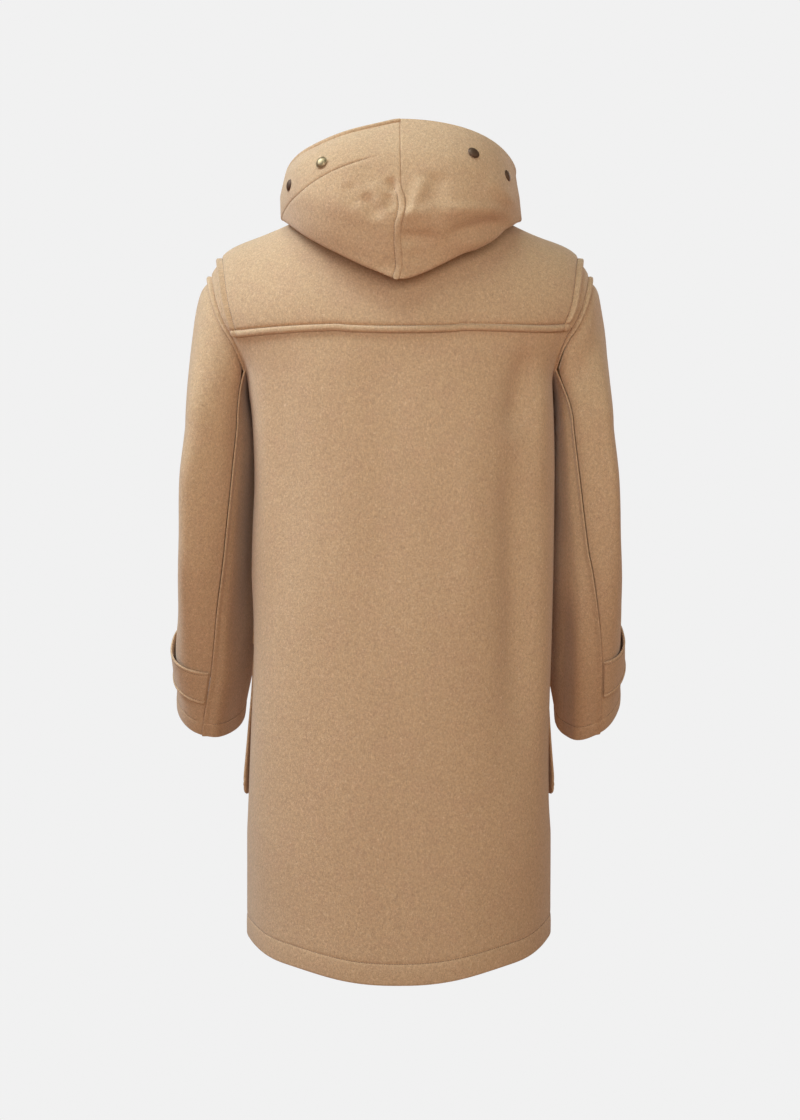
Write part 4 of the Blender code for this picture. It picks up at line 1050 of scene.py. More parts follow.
# How a sleeve falls forward: distances from its back seam and depth, and the
# distances from the armhole over which it comes.
Fall = namedtuple("Fall", "start width depth above reach")
UNDER_FALLS = {1: (Fall(0.016, 0.040, 0.036, 0.05, 0.15),),
               -1: (Fall(0.002, 0.030, -0.009, 0.005, 0.04),
                    Fall(0.036, 0.022, 0.030, 0.26, 0.12))}
UPPER_FALL = {1: Fall(0.0, 0.050, 0.0, 0.0, 0.05), -1: Fall(0.0, 0.050, 0.016, 0.0, 0.05)}


def mirrored(grid):
    return grid[:, ::-1] * np.array((-1.0, 1.0, 1.0))


def fallen(distance, fall):
    """How far forward a sleeve's panel falls at a distance from its back seam."""
    return fall.depth * ease((distance - fall.start) / fall.width)


def faded(panel, back_edge, fall):
    """The fall's share: none at the front seam and at the armhole."""
    other = getattr(panel, "last" if back_edge == "first" else "first")
    return ease(other / FRONT_FADE) * ease((panel.low - fall.above) / fall.reach)


def add_sleeve(side):
    label = SIDES[side]
    for part, start, end in SLEEVE_PARTS:
        grid = sleeve_surface(np.linspace(start, end, 8 * (end - start) + 1), side)
        if side < 0:
            grid = mirrored(grid)
        back_edge = "first" if (part == "upper") == (side > 0) else "last"
        grid = laid_out(grid, part, ((), (CUFF_STITCH,)), ((SEAM_WELT,), (SEAM_WELT,)))
        panel = panel_of(grid)
        seams = [Sewn("top", CUFF_STITCH)]
        falls, ditch = (UPPER_FALL[side],), ARMHOLE_DITCH
        if part == "under":
            falls, ditch = UNDER_FALLS[side], 0.0
            seams.append(Sewn(back_edge, SEAM_WELT, WELT_PUFF, 0.0))
        distance = getattr(panel, back_edge)
        for fall in falls:
            grid[..., 1] -= fallen(distance, fall) * faded(panel, back_edge, fall)
        panel = panel_of(grid)
        rise, dent = sewn_relief(panel, seams)
        inside = CUFF_STITCH + CUFF_TURN_FADE / 2 - panel.top
        turned = CUFF_TURN * ease(inside / CUFF_TURN_FADE)
        height = rise + wander(grid, "sleeve", side)
        height = height - ditch * np.exp(-(panel.low / ARMHOLE_DITCH_WIDTH) ** 2)
        finish_cloth(f"sleeve_{label}_{part}", panel, height, seams, "stitching_sleeves",
                     dent, turned)


# --------------------------------------------------------------------- hood
Wiggle = namedtuple("Wiggle", "z aside")
CENTRE_SEAM = (            # how far the hood's centre seam strays, by height
    Wiggle(-0.130, 0.0020), Wiggle(-0.119, -0.0006), Wiggle(-0.110, -0.0030),
    Wiggle(-0.098, -0.0025), Wiggle(-0.079, -0.0012), Wiggle(-0.061, -0.0016),
    Wiggle(-0.048, -0.0050), Wiggle(-0.036, -0.0068), Wiggle(-0.023, -0.0056),
    Wiggle(-0.017, -0.0030), Wiggle(-0.005, -0.0012), Wiggle(0.100, 0.0),
)
CENTRE_REACH = 0.035
CENTRE_START, CENTRE_FADE = 0.03, 0.05      # from the neck seam
HOOD_CREASES = (
    Crease(0.0120, 0.002, 0.0075, -0.022, 0.0045, -0.0042),
    Crease(0.0150, -0.018, 0.0110, -0.044, 0.0050, -0.0040),
    Crease(0.0460, -0.018, 0.0240, -0.056, 0.0075, -0.0050),
    Crease(0.0700, -0.004, 0.0480, -0.040, 0.0100, -0.0025),
    Crease(0.0330, -0.002, 0.0260, -0.040, 0.0070, 0.0020),
    Crease(0.1600, -0.030, -0.0100, -0.118, 0.0160, 0.0030),
    Crease(-0.0320, 0.006, -0.0090, -0.062, 0.0075, 0.0035),
    Crease(-0.0480, 0.010, -0.0420, -0.040, 0.0120, -0.0035),
    Crease(0.0050, -0.049, -0.0450, -0.0445, 0.0080, 0.0036),
    Crease(-0.0400, -0.045, -0.1500, -0.029, 0.0085, 0.0040),
    Crease(0.0080, -0.0745, -0.0550, -0.075, 0.0090, -0.0070),
    Crease(-0.0500, -0.074, -0.1520, -0.038, 0.0085, -0.0066),
    Crease(-0.0750, -0.066, 0.0150, -0.122, 0.0120, -0.0030),
    Crease(-0.0700, -0.083, -0.1560, -0.052, 0.0100, 0.0050),
    Crease(-0.1100, 0.012, -0.1500, -0.026, 0.0120, 0.0030),
)
HOOD_OUTSIDE = 0.215       # how far down from the brim the creases reach
HOOD_FADE = 0.02
HOOD_COLUMNS, HOOD_ROWS = 181, 261
BAND_MOST = 0.7            # most of a column's length that the band takes
# The stitches of the band and of the centre seam run between these heights.
BAND_HIGH_Z, CENTRE_HIGH_Z, HOOD_LOW_Z = 0.026, -0.012, -0.2
HOOD_SEAMS = {
    1: (Sewn("top", BAND_STITCH, 0.0007, 0.0012, HOOD_LOW_Z, BAND_HIGH_Z),
        Sewn("last", HOOD_WELT, 0.0016, 0.0012, HOOD_LOW_Z, CENTRE_HIGH_Z),
        Sewn("top", BRIM_ROLL, 0.0016, 0.0014)),
    -1: (Sewn("top", BAND_STITCH, 0.0004, 0.0),),
}
LOBE_DROP = 0.0055         # how much lower the fold hangs at the hood's sides
LOBE_ANGLE, LOBE_SPREAD = 72, 24
LOBE_PLACE, LOBE_DEPTH = 4.6, 1.3      # in rings of the hood
KEEL, KEEL_WIDTH = 0.017, {1: 0.16, -1: 0.032}   # the fold's keel at the centre
KEEL_PLACE, KEEL_DEPTH = 5.0, 1.2


def hood_grid(side, angles, places):
    """Hood points whose fold hangs a little lower at the sides."""
    grid = hood_surface(side, angles, places)
    around = np.exp(-((angles - LOBE_ANGLE) / LOBE_SPREAD) ** 2)
    along = np.exp(-((places - LOBE_PLACE) / LOBE_DEPTH) ** 2)
    grid[..., 2] -= LOBE_DROP * along[:, None] * around[None]
    along = np.exp(-((places - KEEL_PLACE) / KEEL_DEPTH) ** 2)
    grid[..., 1] += KEEL * along[:, None] * np.exp(-np.abs(grid[..., 0]) / KEEL_WIDTH[side])
    return grid


def add_hood(side):
    label = SIDES[side]
    angles = np.linspace(HOOD_END, 0, HOOD_COLUMNS)
    if side < 0:
        angles = angles[::-1]
    grid = hood_grid(side, angles, np.linspace(0, len(HOOD), HOOD_ROWS))
    centre, front = ("last", "first") if side > 0 else ("first", "last")
    sides = {centre: stations(HOOD_WELT), front: EDGE_STATIONS}
    start, growth, last_angle = BAND_SLANT
    total = lengths(grid, 0)[-1]
    slant = np.minimum(start + growth * np.minimum(angles, last_angle),
                       BAND_MOST * total / BAND_STITCH)
    lines = stations(BRIM_ROLL, BAND_STITCH)
    down, across = STEPS["hood"]
    grid = respaced(grid, Spacing(stations(), down, lines), 0, slant)
    grid = respaced(grid, Spacing(sides["first"], across, sides["last"]), 1)
    stray = read(CENTRE_SEAM, "aside", grid[..., 2])
    stray = stray * np.exp(-(grid[..., 0] / CENTRE_REACH) ** 2) * (grid[..., 1] > 0)
    grid[..., 0] += stray * ease((lengths(grid, 0) - CENTRE_START) / CENTRE_FADE)
    panel = panel_of(grid)
    slanted = panel.top[-1 - lines.index(BAND_STITCH)] / BAND_STITCH
    panel = panel._replace(top=panel.top / slanted)
    seams = HOOD_SEAMS[side]
    rise, dent = sewn_relief(panel, seams)
    fade = ease((HOOD_OUTSIDE - panel.top) / HOOD_FADE)
    height = rise + creased(grid, HOOD_CREASES) * fade + wander(grid, "hood", side)
    threads = seams[:2]        # the roll at the brim shows no thread
    finish_cloth(f"hood_{label}", panel, height, threads, "stitching_hood", dent)


# ------------------------------------------------------------------ pockets
POCKET_COLUMNS, POCKET_ROWS = 81, 121
POCKET_SEWN = (Sewn("low", POCKET_STITCH), Sewn("first", POCKET_STITCH),
               Sewn("last", POCKET_STITCH), Sewn("top", POCKET_HEM, 0.0))
POCKET_HEM_STEP = 0.002    # length over which the hem's thickness begins
POCKET_FLARE_POWER = 1.5


def add_pocket(side):
    label = SIDES[side]
    top_x = np.linspace(*POCKET_X, POCKET_COLUMNS)
    if side < 0:
        top_x = -top_x[::-1]
    share = column_share(top_x)
    depths = np.linspace(POCKET_LOW, POCKET_TOP, POCKET_ROWS)
    grid = np.array([body_low(share, np.full_like(share, z), False) for z in depths])
    across = lengths(grid, 1)
    near = np.minimum(across, across[:, -1:] - across)[0]
    rise = POCKET_CORNER - np.sqrt(POCKET_CORNER ** 2
                                   - np.clip(POCKET_CORNER - near, 0, POCKET_CORNER) ** 2)
    tall = POCKET_TOP - POCKET_LOW
    gone = np.linspace(0, tall, POCKET_ROWS)
    rows = [[np.interp(t * (tall - up) + up, gone, grid[:, j, k])
             for j, up in enumerate(rise) for k in range(3)]
            for t in np.linspace(0, 1, POCKET_ROWS)]
    grid = np.array(rows).reshape(POCKET_ROWS, len(top_x), 3)
    grid = laid_out(grid, "pocket", ((POCKET_STITCH,), (POCKET_HEM,)),
                    ((POCKET_STITCH,), (POCKET_STITCH,)))
    panel = panel_of(grid)
    rise, dent = sewn_relief(panel, POCKET_SEWN)
    down = np.clip(panel.top / panel.top[:1], 0, 1) ** POCKET_FLARE_POWER
    toward = ease(1 - 2 * (panel.last if side > 0 else panel.first)
                  / (panel.last + panel.first))
    height = PLY + LOOSE_GAP - SEAM_GAP + rise
    drawn = read(POCKET_DRAWS, label, grid[..., 2])
    height = height + (POCKET_STAND + POCKET_FLARE * down - drawn) * toward
    height = height + POCKET_HEM_RISE * ease((POCKET_HEM - panel.top) / POCKET_HEM_STEP + 0.5)
    finish_cloth(f"pocket_{label}", panel, height, POCKET_SEWN, "stitching_fronts",
                 dent)


# ------------------------------------------------------------------- straps
STRAP_ROWS, STRAP_COLUMNS = 31, 121
STRAP_SEWN = (Sewn("low", STRAP_STITCH, 0.0003, 0.0004),
              Sewn("top", STRAP_STITCH, 0.0014, 0.0006))
STRAP_END_SEWN = {1: Sewn("last", STRAP_STITCH, 0.0008, 0.0008),
                  -1: Sewn("first", STRAP_STITCH, 0.0008, 0.0008)}


def strap_place(along, share, side):
    """Height and angle on the sleeve's rings of a place on its strap."""
    z = STRAP_LOW_Z + (STRAP_TOP_Z - STRAP_LOW_Z) * share
    low, top, far = STRAP_LIFTS[side]
    turned = ease(along * STRAP_TURN)
    z = z + STRAP_RISE * turned + far * turned + (low + (top - low) * share) * (1 - turned)
    seam = read(SLEEVE, "seam_" + SIDES[side], z)
    return z, seam - STRAP_START + (STRAP_END - seam) * along


def strap_lift(along, share, side):
    """Height of the strap's outside over the sleeve's."""
    top, low = STRAP_STAND[side]
    up, middle = STAND_POWERS
    stand = top * (low + (1 - low) * share ** up) * np.abs(np.sin(along * pi)) ** middle
    return CLOTH + LOOSE_GAP + stand


def front_fade(z, point, side):
    """Share of the sleeve's fall here: none at its front seam."""
    rest = np.linalg.norm(sleeve_ring(z, FRONT_SEAM, side) - point, axis=-1)
    return ease(rest / FRONT_FADE)


def add_strap(side):
    label = SIDES[side]
    along, share = np.meshgrid(np.linspace(0, 1, STRAP_COLUMNS),
                               np.linspace(1, 0, STRAP_ROWS))
    z, angle = strap_place(along, share, side)
    base = sleeve_ring(z, angle, side)
    out = unit(np.cross(np.gradient(base, axis=1), np.gradient(base, axis=0)))
    grid = base + out * strap_lift(along, share, side)[..., None]
    fall = fallen(lengths(grid, 1), UPPER_FALL[side])
    grid[..., 1] -= fall * front_fade(z, base, side)
    if side < 0:
        grid = mirrored(grid)
    both = (STRAP_STITCH,), (STRAP_STITCH,)
    panel = panel_of(laid_out(grid, "strap", both, both))
    seams = (*STRAP_SEWN, STRAP_END_SEWN[side])
    rise, dent = sewn_relief(panel, seams)
    finish_cloth(f"cuff_strap_{label}", panel, rise, seams, "stitching_sleeves",
                 dent)


# ------------------------------------------------------------ turned pieces
def turned_piece(name, profile, sides, material, node):
    """Solid of revolution about Z; the profile runs from top to bottom."""
    angles = np.arange(sides) * 2 * pi / sides
    vertices = [(radius * cos(a), radius * sin(a), z) for radius, z in profile[1:-1]
                for a in angles]
    rings = len(profile) - 2
    faces = []
    for i in range(rings - 1):
        for k in range(sides):
            n = (k + 1) % sides
            faces.append((i * sides + k, (i + 1) * sides + k, (i + 1) * sides + n,
                          i * sides + n))
    top, low = len(vertices), len(vertices) + 1
    vertices += [(0, 0, profile[0][1]), (0, 0, profile[-1][1])]
    for k in range(sides):
        n = (k + 1) % sides
        faces.append((top, k, n))
        faces.append((low, (rings - 1) * sides + n, (rings - 1) * sides + k))
    piece = new_piece(name, vertices, faces, bpy.data.materials[material], TURNED_SMOOTH)
    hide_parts(node)
    return piece


def stand_on(piece, point, out):
    """Move a turned piece to a point, with its axis along out."""
    turn = Vector(out).to_track_quat("Z", "Y").to_matrix().to_4x4()
    piece.data.transform(Matrix.Translation(Vector(point)) @ turn)
    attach(piece, "root")


def dome_profile(dome):
    """Cap with a rolled rim and a flat underside."""
    turns = [pi / 2 * i / DOME_STEPS for i in range(DOME_STEPS + 1)]
    arc = [(DOME_SHARE * dome.radius * sin(turn),
            dome.lip + dome.height * cos(turn) ** DOME_ROUND) for turn in turns]
    bead = [(out * dome.radius, dome.lip * up) for out, up in DOME_BEAD]
    return arc + bead + [(0.0, 0.0)]


def add_snaps():
    along, aside = SNAP_STEPS
    for snap in SNAPS:
        places = np.array((snap.ring, snap.ring + along))
        near = hood_surface(snap.side, np.array((snap.angle, snap.angle + aside)), places)
        point = near[0, 0]
        out = unit(np.cross(near[1, 0] - point, near[0, 1] - point)) * snap.side
        # The bright snap keeps the plain brass; the others take a darker copy of it that is
        # painted shade.
        metal = "aged_brass" if snap.name == BRIGHT_SNAP else "brass_darkened_for_shade"
        piece = turned_piece(snap.name + "_cap", dome_profile(SNAP), DOME_SIDES, metal,
                             snap.name)
        stand_on(piece, point + out * snap.height, out)


def add_buttons():
    for side, label in SIDES.items():
        z, angle = strap_place(BUTTON_ALONG, BUTTON_SHARE, side)
        base = sleeve_ring(z, angle, side)
        fall = UPPER_FALL[side].depth * front_fade(z, base, side)
        point = base - np.array((0.0, fall, 0.0))
        up = sleeve_ring(z + BUTTON_STEPS[0], angle, side) - base
        across = sleeve_ring(z, angle + BUTTON_STEPS[1], side) - base
        out = unit(np.cross(across, up))
        lift = strap_lift(BUTTON_ALONG, BUTTON_SHARE, side) + BUTTON_GAP
        mirror = np.array((side, 1.0, 1.0))
        piece = turned_piece(f"cuff_button_{label}_horn", dome_profile(BUTTON), DOME_SIDES,
                             "striped_horn", f"cuff_button_{label}")
        stand_on(piece, (point + out * lift) * mirror, out * mirror)


# ----------------------------------------------------------------- closures
def front_point(x, z, height):
    """Point in front of the closed fronts, at a height off the lower one."""
    width, depth = read(GIRTHS, "half_width", z), body_depth(z, False)
    if z > UNDERARM_Z:
        drop = (YOKE_Z - min(z, YOKE_Z)) / (YOKE_Z - UNDERARM_Z)
        width = arm_span(np.arcsin(drop ** (ARM_ROUND / 2)) * 2 / pi, False)[0]
    square = read(GIRTHS, "square", z)
    share = abs(x - read(GIRTHS, "centre", z)) / width
    y = -depth * (1 - share ** square) ** (1 / square)
    slope = depth / width * share ** (square - 1)
    slope *= (1 - share ** square) ** (1 / square - 1)
    out = unit(np.array((slope * np.sign(x), -1.0, 0.0)))
    return np.array((x, y, z)) + out * height


def add_patch(name, x, z, height):
    """Leather patch with bevelled edges that follows the front."""
    lines = np.array([*(-line for line in PATCH_LINES[::-1]), 0, *PATCH_LINES]) * PATCH_HALF
    grid = np.array([[front_point(x + a, z + b, height + PATCH_THICK) for a in lines]
                     for b in lines])
    panel = panel_of(grid)
    outer, inner = faces_of(panel, 0 * panel.low, thickness=PATCH_THICK)
    vertices, faces = shell_parts(outer, inner)
    piece = new_piece(name, vertices.tolist(), faces.tolist(), bpy.data.materials["brown_leather"])
    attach(piece, "root")
    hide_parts(name)
    seams = [Sewn(edge, PATCH_STITCH, 0.0, PATCH_GROOVE)
             for edge in ("low", "top", "first", "last")]
    sew("stitching_patches", panel, outer, seams)


def add_cord(name, route):
    """Braided cord: a tube whose surface turns in three strands."""
    route = np.array(route)
    line = np.array([through(route, place)
                     for place in np.linspace(0, len(route) - 1, CORD_STEPS)])
    ahead = unit(np.gradient(line, axis=0))
    aside = unit(np.cross(ahead, np.array((0.0, -1.0, 0.0))))
    over = np.cross(aside, ahead)
    gone = lengths(line[None], 1)[0]
    angles = np.arange(CORD_SIDES) * 2 * pi / CORD_SIDES
    vertices = []
    for i in range(CORD_STEPS):
        swell = 1 + CORD_SWELL * np.cos(CORD_STRANDS * (angles + gone[i] / CORD_TWIST))
        ring = CORD_RADIUS * CORD_CORE * swell
        vertices.append(line[i] + (np.cos(angles) * ring)[:, None] * aside[i]
                        + (np.sin(angles) * ring)[:, None] * over[i])
    vertices = np.concatenate(vertices)
    numbers = tuple(range(len(vertices)))
    faces = [*tube_faces(CORD_STEPS, CORD_SIDES), numbers[:CORD_SIDES],
             numbers[-CORD_SIDES:][::-1]]
    piece = new_piece(name, vertices.tolist(), faces, bpy.data.materials["braided_cord"],
                      ROUND_SMOOTH)
    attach(piece, "root")
    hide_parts(name)


def toggle_profile():
    low = [(radius, -z) for radius, z in TOGGLE_PROFILE[-2::-1]]
    return [(radius * TOGGLE_RADIUS, z * TOGGLE_HALF) for radius, z in (*TOGGLE_PROFILE, *low)]


def add_closure(number, z):
    """One toggle with its two cords and two leather patches."""
    lap, base = PLY, CORD_RADIUS + CORD_LIFT
    add_patch(f"patch_left_{number}", LEFT_PATCH_X, z, lap + PATCH_GAP)
    add_patch(f"patch_right_{number}", RIGHT_PATCH_X, z, PATCH_GAP)
    start = LEFT_PATCH_X - PATCH_HALF - CORD_GAP
    end = TOGGLE_X - LOOP_REACH
    middle = (start + end) / 2
    bend = [i / LOOP_STEPS * pi for i in range(LOOP_STEPS + 1)]
    loop = [(start, LOOP_HALF), (middle, LOOP_HALF),
            *((end - LOOP_HALF * sin(a), LOOP_HALF * cos(a)) for a in bend),
            (middle, -LOOP_HALF), (start, -LOOP_HALF)]
    add_cord(f"cord_loop_{number}", [front_point(x, z + up, lap + base) for x, up in loop])
    high = lap + base + 2 * CORD_RADIUS + LOOSE_GAP
    start = RIGHT_PATCH_X + PATCH_HALF + CORD_GAP
    hold = ((start, HOLD_HALF, base), (start + HOLD_RISE, HOLD_HALF, high),
            (TOGGLE_X, HOLD_HALF, high), (TOGGLE_X + HOLD_TURN, 0, high),
            (TOGGLE_X, -HOLD_HALF, high), (start + HOLD_RISE, -HOLD_HALF, high),
            (start, -HOLD_HALF, base))
    add_cord(f"cord_hold_{number}", [front_point(x, z + up, height) for x, up, height in hold])
    height = high + CORD_RADIUS + TOGGLE_RADIUS + SEAM_GAP
    piece = turned_piece(f"toggle_{number}_horn", toggle_profile(), TOGGLE_SIDES,
                         "striped_horn", f"toggle_{number}")
    stand_on(piece, front_point(TOGGLE_X, z, height), (0, 0, 1))


# ---------------------------------------------------------------- materials
COLOUR, NUMBER = "NodeSocketColor", "NodeSocketFloat"
GROUP_OUTPUTS = ("Colour", COLOUR), ("Height", NUMBER), ("Roughness", NUMBER)
# Each noise of the wool: how fine, its detail, its roughness and its twist.
WOOL_NOISES = (40.0, 2.0), (300.0, 2.0, 0.6), (520.0, 3.0, 0.6, 1.5)
FIBRE_SCALE, FIBRE_SLANT = (900.0, 500.0, 300.0), 35
ROSY_RAMP, ROSY_SHARE = (0.45, 0.65), 0.4
FLECK_RAMPS, FLECK_SHARE = (("Pale fibre", 0.54, 0.70), ("Dark fibre", 0.44, 0.30)), 0.55
TONE_SHARE, NAP_SHARES = 0.6, (0.4, 0.8, 0.8)
WOOL_ROUGH, WOOL_BUMP = (0.87, 0.1), (0.5, 0.0010)
WOOL = {"Colour": (0.562, 0.342, 0.184, 1), "Pale fibre": (0.840, 0.610, 0.405, 1),
        "Dark fibre": (0.270, 0.140, 0.072, 1), "Rosy patch": (0.552, 0.322, 0.181, 1),
        "Contrast": 0.8}
WOOL_FINISH = {"Sheen Weight": 0.30, "Sheen Roughness": 0.5,
               "Sheen Tint": (1.0, 0.90, 0.78, 1), "Specular IOR Level": 0.15}
GRAIN_NOISE, GRAIN_RAMP = (1.0, 4.0, 0.6), (0.3, 0.7)
# A grained material: two colours, how fine and how drawn out its grain is, its
# roughness from smooth to rough, its bump and what else its shader is given.
Grain = namedtuple("Grain", "name colour second scale stretch smooth rough bump finish")
GRAINS = (
    # The thread is darker than the wool partly as its own colour and partly as painted shade of
    # the groove it lies in.
    Grain("sewing_thread", (0.22, 0.135, 0.075), (0.14, 0.085, 0.045), 900.0, 1.0, 0.6, 0.8,
          (0.2, 0.0002), {"Sheen Weight": 0.2}),
    Grain("brown_leather", (0.14, 0.060, 0.026), (0.075, 0.030, 0.014), 700.0, 1.0, 0.42, 0.62,
          (0.5, 0.0006), {}),
    Grain("striped_horn", (0.23, 0.125, 0.055), (0.055, 0.026, 0.013), 160.0, 9.0, 0.22, 0.40,
          (0.15, 0.0003), {"Coat Weight": 0.25, "Coat Roughness": 0.2}),
    Grain("braided_cord", (0.15, 0.080, 0.040), (0.080, 0.040, 0.020), 1500.0, 1.0, 0.75, 0.95,
          (0.5, 0.0004), {}),
    Grain("aged_brass", (0.38, 0.27, 0.15), (0.30, 0.20, 0.10), 90.0, 1.0, 0.42, 0.50,
          (0.05, 0.0002), {"Metallic": 1.0}),
    # A darker copy of the brass above, as painted shade on the three snaps other than the bright
    # one.
    Grain("brass_darkened_for_shade", (0.150, 0.080, 0.042), (0.100, 0.050, 0.028), 90.0, 1.0, 0.55,
          0.65, (0.05, 0.0002), {"Metallic": 0.6}),
)


def new_group(name, inputs, outputs):
    """Node group with inputs that each have a value, and its end nodes."""
    group = bpy.data.node_groups.new(name, "ShaderNodeTree")
    for label, kind, value in inputs:
        socket = group.interface.new_socket(label, in_out="INPUT", socket_type=kind)
        socket.default_value = value
    for label, kind in outputs:
        group.interface.new_socket(label, in_out="OUTPUT", socket_type=kind)
    return group, group.nodes.new("NodeGroupInput"), group.nodes.new("NodeGroupOutput")


def give(group, socket, value):
    """Link a value that is another node's output, or else set it."""
    if isinstance(value, bpy.types.NodeSocket):
        group.links.new(value, socket)
    else:
        socket.default_value = value


def add_math(group, operation, first, second):
    node = group.nodes.new("ShaderNodeMath")
    node.operation = operation
    give(group, node.inputs[0], first)
    give(group, node.inputs[1], second)
    return node.outputs[0]


def add_sum(group, *parts):
    """Sum of values, each times its share."""
    products = [add_math(group, "MULTIPLY", value, share) for value, share in parts]
    total = products[0]
    for product in products[1:]:
        total = add_math(group, "ADD", total, product)
    return total


def add_noise(group, place, scale, detail=2.0, rough=0.5, twist=0.0):
    node = group.nodes.new("ShaderNodeTexNoise")
    node.inputs["Scale"].default_value = scale
    node.inputs["Detail"].default_value = detail
    node.inputs["Roughness"].default_value = rough
    node.inputs["Distortion"].default_value = twist
    group.links.new(place, node.inputs["Vector"])
    return node.outputs["Fac"]


def add_ramp(group, value, low, high):
    node = group.nodes.new("ShaderNodeMapRange")
    node.inputs["From Min"].default_value = low
    node.inputs["From Max"].default_value = high
    group.links.new(value, node.inputs["Value"])
    return node.outputs["Result"]


def add_mix(group, share, first, second, blend="MIX"):
    node = group.nodes.new("ShaderNodeMix")
    node.data_type = "RGBA"
    node.blend_type = blend
    for label, value in (("Factor", share), ("A", first), ("B", second)):
        give(group, [s for s in node.inputs if s.name == label and s.enabled][0], value)
    return [s for s in node.outputs if s.enabled][0]


def wool_group():
    """Melange wool: mixed fibres, soft patches and a short raised nap."""
    group, given, result = new_group(
        "wool_melange",
        [(label, NUMBER if label == "Contrast" else COLOUR, value)
         for label, value in WOOL.items()],
        GROUP_OUTPUTS)
    place = group.nodes.new("ShaderNodeTexCoord").outputs["Object"]
    patch, felt, fleck = (add_noise(group, place, *noise) for noise in WOOL_NOISES)
    turn = group.nodes.new("ShaderNodeMapping")
    turn.inputs["Rotation"].default_value = (0.0, radians(FIBRE_SLANT), 0.0)
    turn.inputs["Scale"].default_value = FIBRE_SCALE
    group.links.new(place, turn.inputs["Vector"])
    fibre = add_noise(group, turn.outputs["Vector"], 1.0)
    rosy = add_math(group, "MULTIPLY", add_ramp(group, patch, *ROSY_RAMP), ROSY_SHARE)
    colour = add_mix(group, rosy, given.outputs["Colour"], given.outputs["Rosy patch"])
    for name, low, high in FLECK_RAMPS:
        share = add_math(group, "MULTIPLY", add_ramp(group, fleck, low, high), FLECK_SHARE)
        share = add_math(group, "MULTIPLY", share, given.outputs["Contrast"])
        colour = add_mix(group, share, colour, given.outputs[name])
    tone = add_sum(group, (felt, TONE_SHARE), (fibre, TONE_SHARE))
    tone = add_math(group, "SUBTRACT", tone, TONE_SHARE)
    tone = add_math(group, "MULTIPLY", tone, given.outputs["Contrast"])
    tone = add_math(group, "ADD", tone, 1.0)
    shade = group.nodes.new("ShaderNodeCombineColor")
    for channel in ("Red", "Green", "Blue"):
        group.links.new(tone, shade.inputs[channel])
    colour = add_mix(group, 1.0, colour, shade.outputs["Color"], "MULTIPLY")
    nap = add_sum(group, *zip((fibre, fleck, felt), NAP_SHARES))
    group.links.new(colour, result.inputs["Colour"])
    group.links.new(nap, result.inputs["Height"])
    rough = add_math(group, "ADD", add_sum(group, (felt, WOOL_ROUGH[1])), WOOL_ROUGH[0])
    group.links.new(rough, result.inputs["Roughness"])
    return group


def grain_group():
    """Fine uneven grain for leather, horn, cord, thread and metal."""
    group, given, result = new_group(
        "fine_grain",
        (("Colour", COLOUR, (0.2, 0.1, 0.05, 1)), ("Second colour", COLOUR, (0.1, 0.05, 0.02, 1)),
         ("Scale", NUMBER, 300.0), ("Stretch", NUMBER, 1.0), ("Smooth", NUMBER, 0.3),
         ("Rough", NUMBER, 0.6)),
        GROUP_OUTPUTS)
    place = group.nodes.new("ShaderNodeTexCoord").outputs["Object"]
    squash = group.nodes.new("ShaderNodeCombineXYZ")
    for label in ("X", "Y"):
        group.links.new(given.outputs["Scale"], squash.inputs[label])
    tall = add_math(group, "DIVIDE", given.outputs["Scale"], given.outputs["Stretch"])
    group.links.new(tall, squash.inputs["Z"])
    scaled = group.nodes.new("ShaderNodeVectorMath")
    scaled.operation = "MULTIPLY"
    group.links.new(place, scaled.inputs[0])
    group.links.new(squash.outputs["Vector"], scaled.inputs[1])
    grain = add_noise(group, scaled.outputs["Vector"], *GRAIN_NOISE)
    share = add_ramp(group, grain, *GRAIN_RAMP)
    colour = add_mix(group, share, given.outputs["Colour"], given.outputs["Second colour"])
    span = add_math(group, "SUBTRACT", given.outputs["Rough"], given.outputs["Smooth"])
    rough = add_math(group, "ADD", given.outputs["Smooth"],
                     add_math(group, "MULTIPLY", span, share))
    group.links.new(colour, result.inputs["Colour"])
    group.links.new(grain, result.inputs["Height"])
    group.links.new(rough, result.inputs["Roughness"])
    return group


def new_material(name, group, values, bump, finish):
    """Principled material whose colour, roughness and relief a group gives."""
    material = bpy.data.materials.new(name)
    material.use_nodes = True
    tree = material.node_tree
    shader = tree.nodes["Principled BSDF"]
    node = tree.nodes.new("ShaderNodeGroup")
    node.node_tree = group
    for label, value in values.items():
        node.inputs[label].default_value = value
    tree.links.new(node.outputs["Colour"], shader.inputs["Base Color"])
    tree.links.new(node.outputs["Roughness"], shader.inputs["Roughness"])
    relief = tree.nodes.new("ShaderNodeBump")
    relief.inputs["Strength"].default_value = bump[0]
    relief.inputs["Distance"].default_value = bump[1]
    tree.links.new(node.outputs["Height"], relief.inputs["Height"])
    tree.links.new(relief.outputs["Normal"], shader.inputs["Normal"])
    for label, value in finish.items():
        shader.inputs[label].default_value = value


def add_materials():
    new_material("camel_wool", wool_group(), WOOL, WOOL_BUMP, WOOL_FINISH)
    grain = grain_group()
    for row in GRAINS:
        values = {"Colour": (*row.colour, 1), "Second colour": (*row.second, 1),
                  "Scale": row.scale, "Stretch": row.stretch, "Smooth": row.smooth,
                  "Rough": row.rough}
        new_material(row.name, grain, values, row.bump, row.finish)


# -------------------------------------------------------- camera and lights
BACKGROUND = 0.879         # flat pale grey behind the coat
SKY, GROUND = (0.01, 0.01, 0.01), (0.46, 0.26, 0.16)
AIM = 0.0, 0.0, -0.45      # what the lamps point at
FLOOR_RADIUS, FLOOR_Z, FLOOR_SIDES = 0.57, -1.45, 96
FLOOR_COLOUR, FLOOR_ROUGH = (0.30, 0.22, 0.15, 1), 0.9

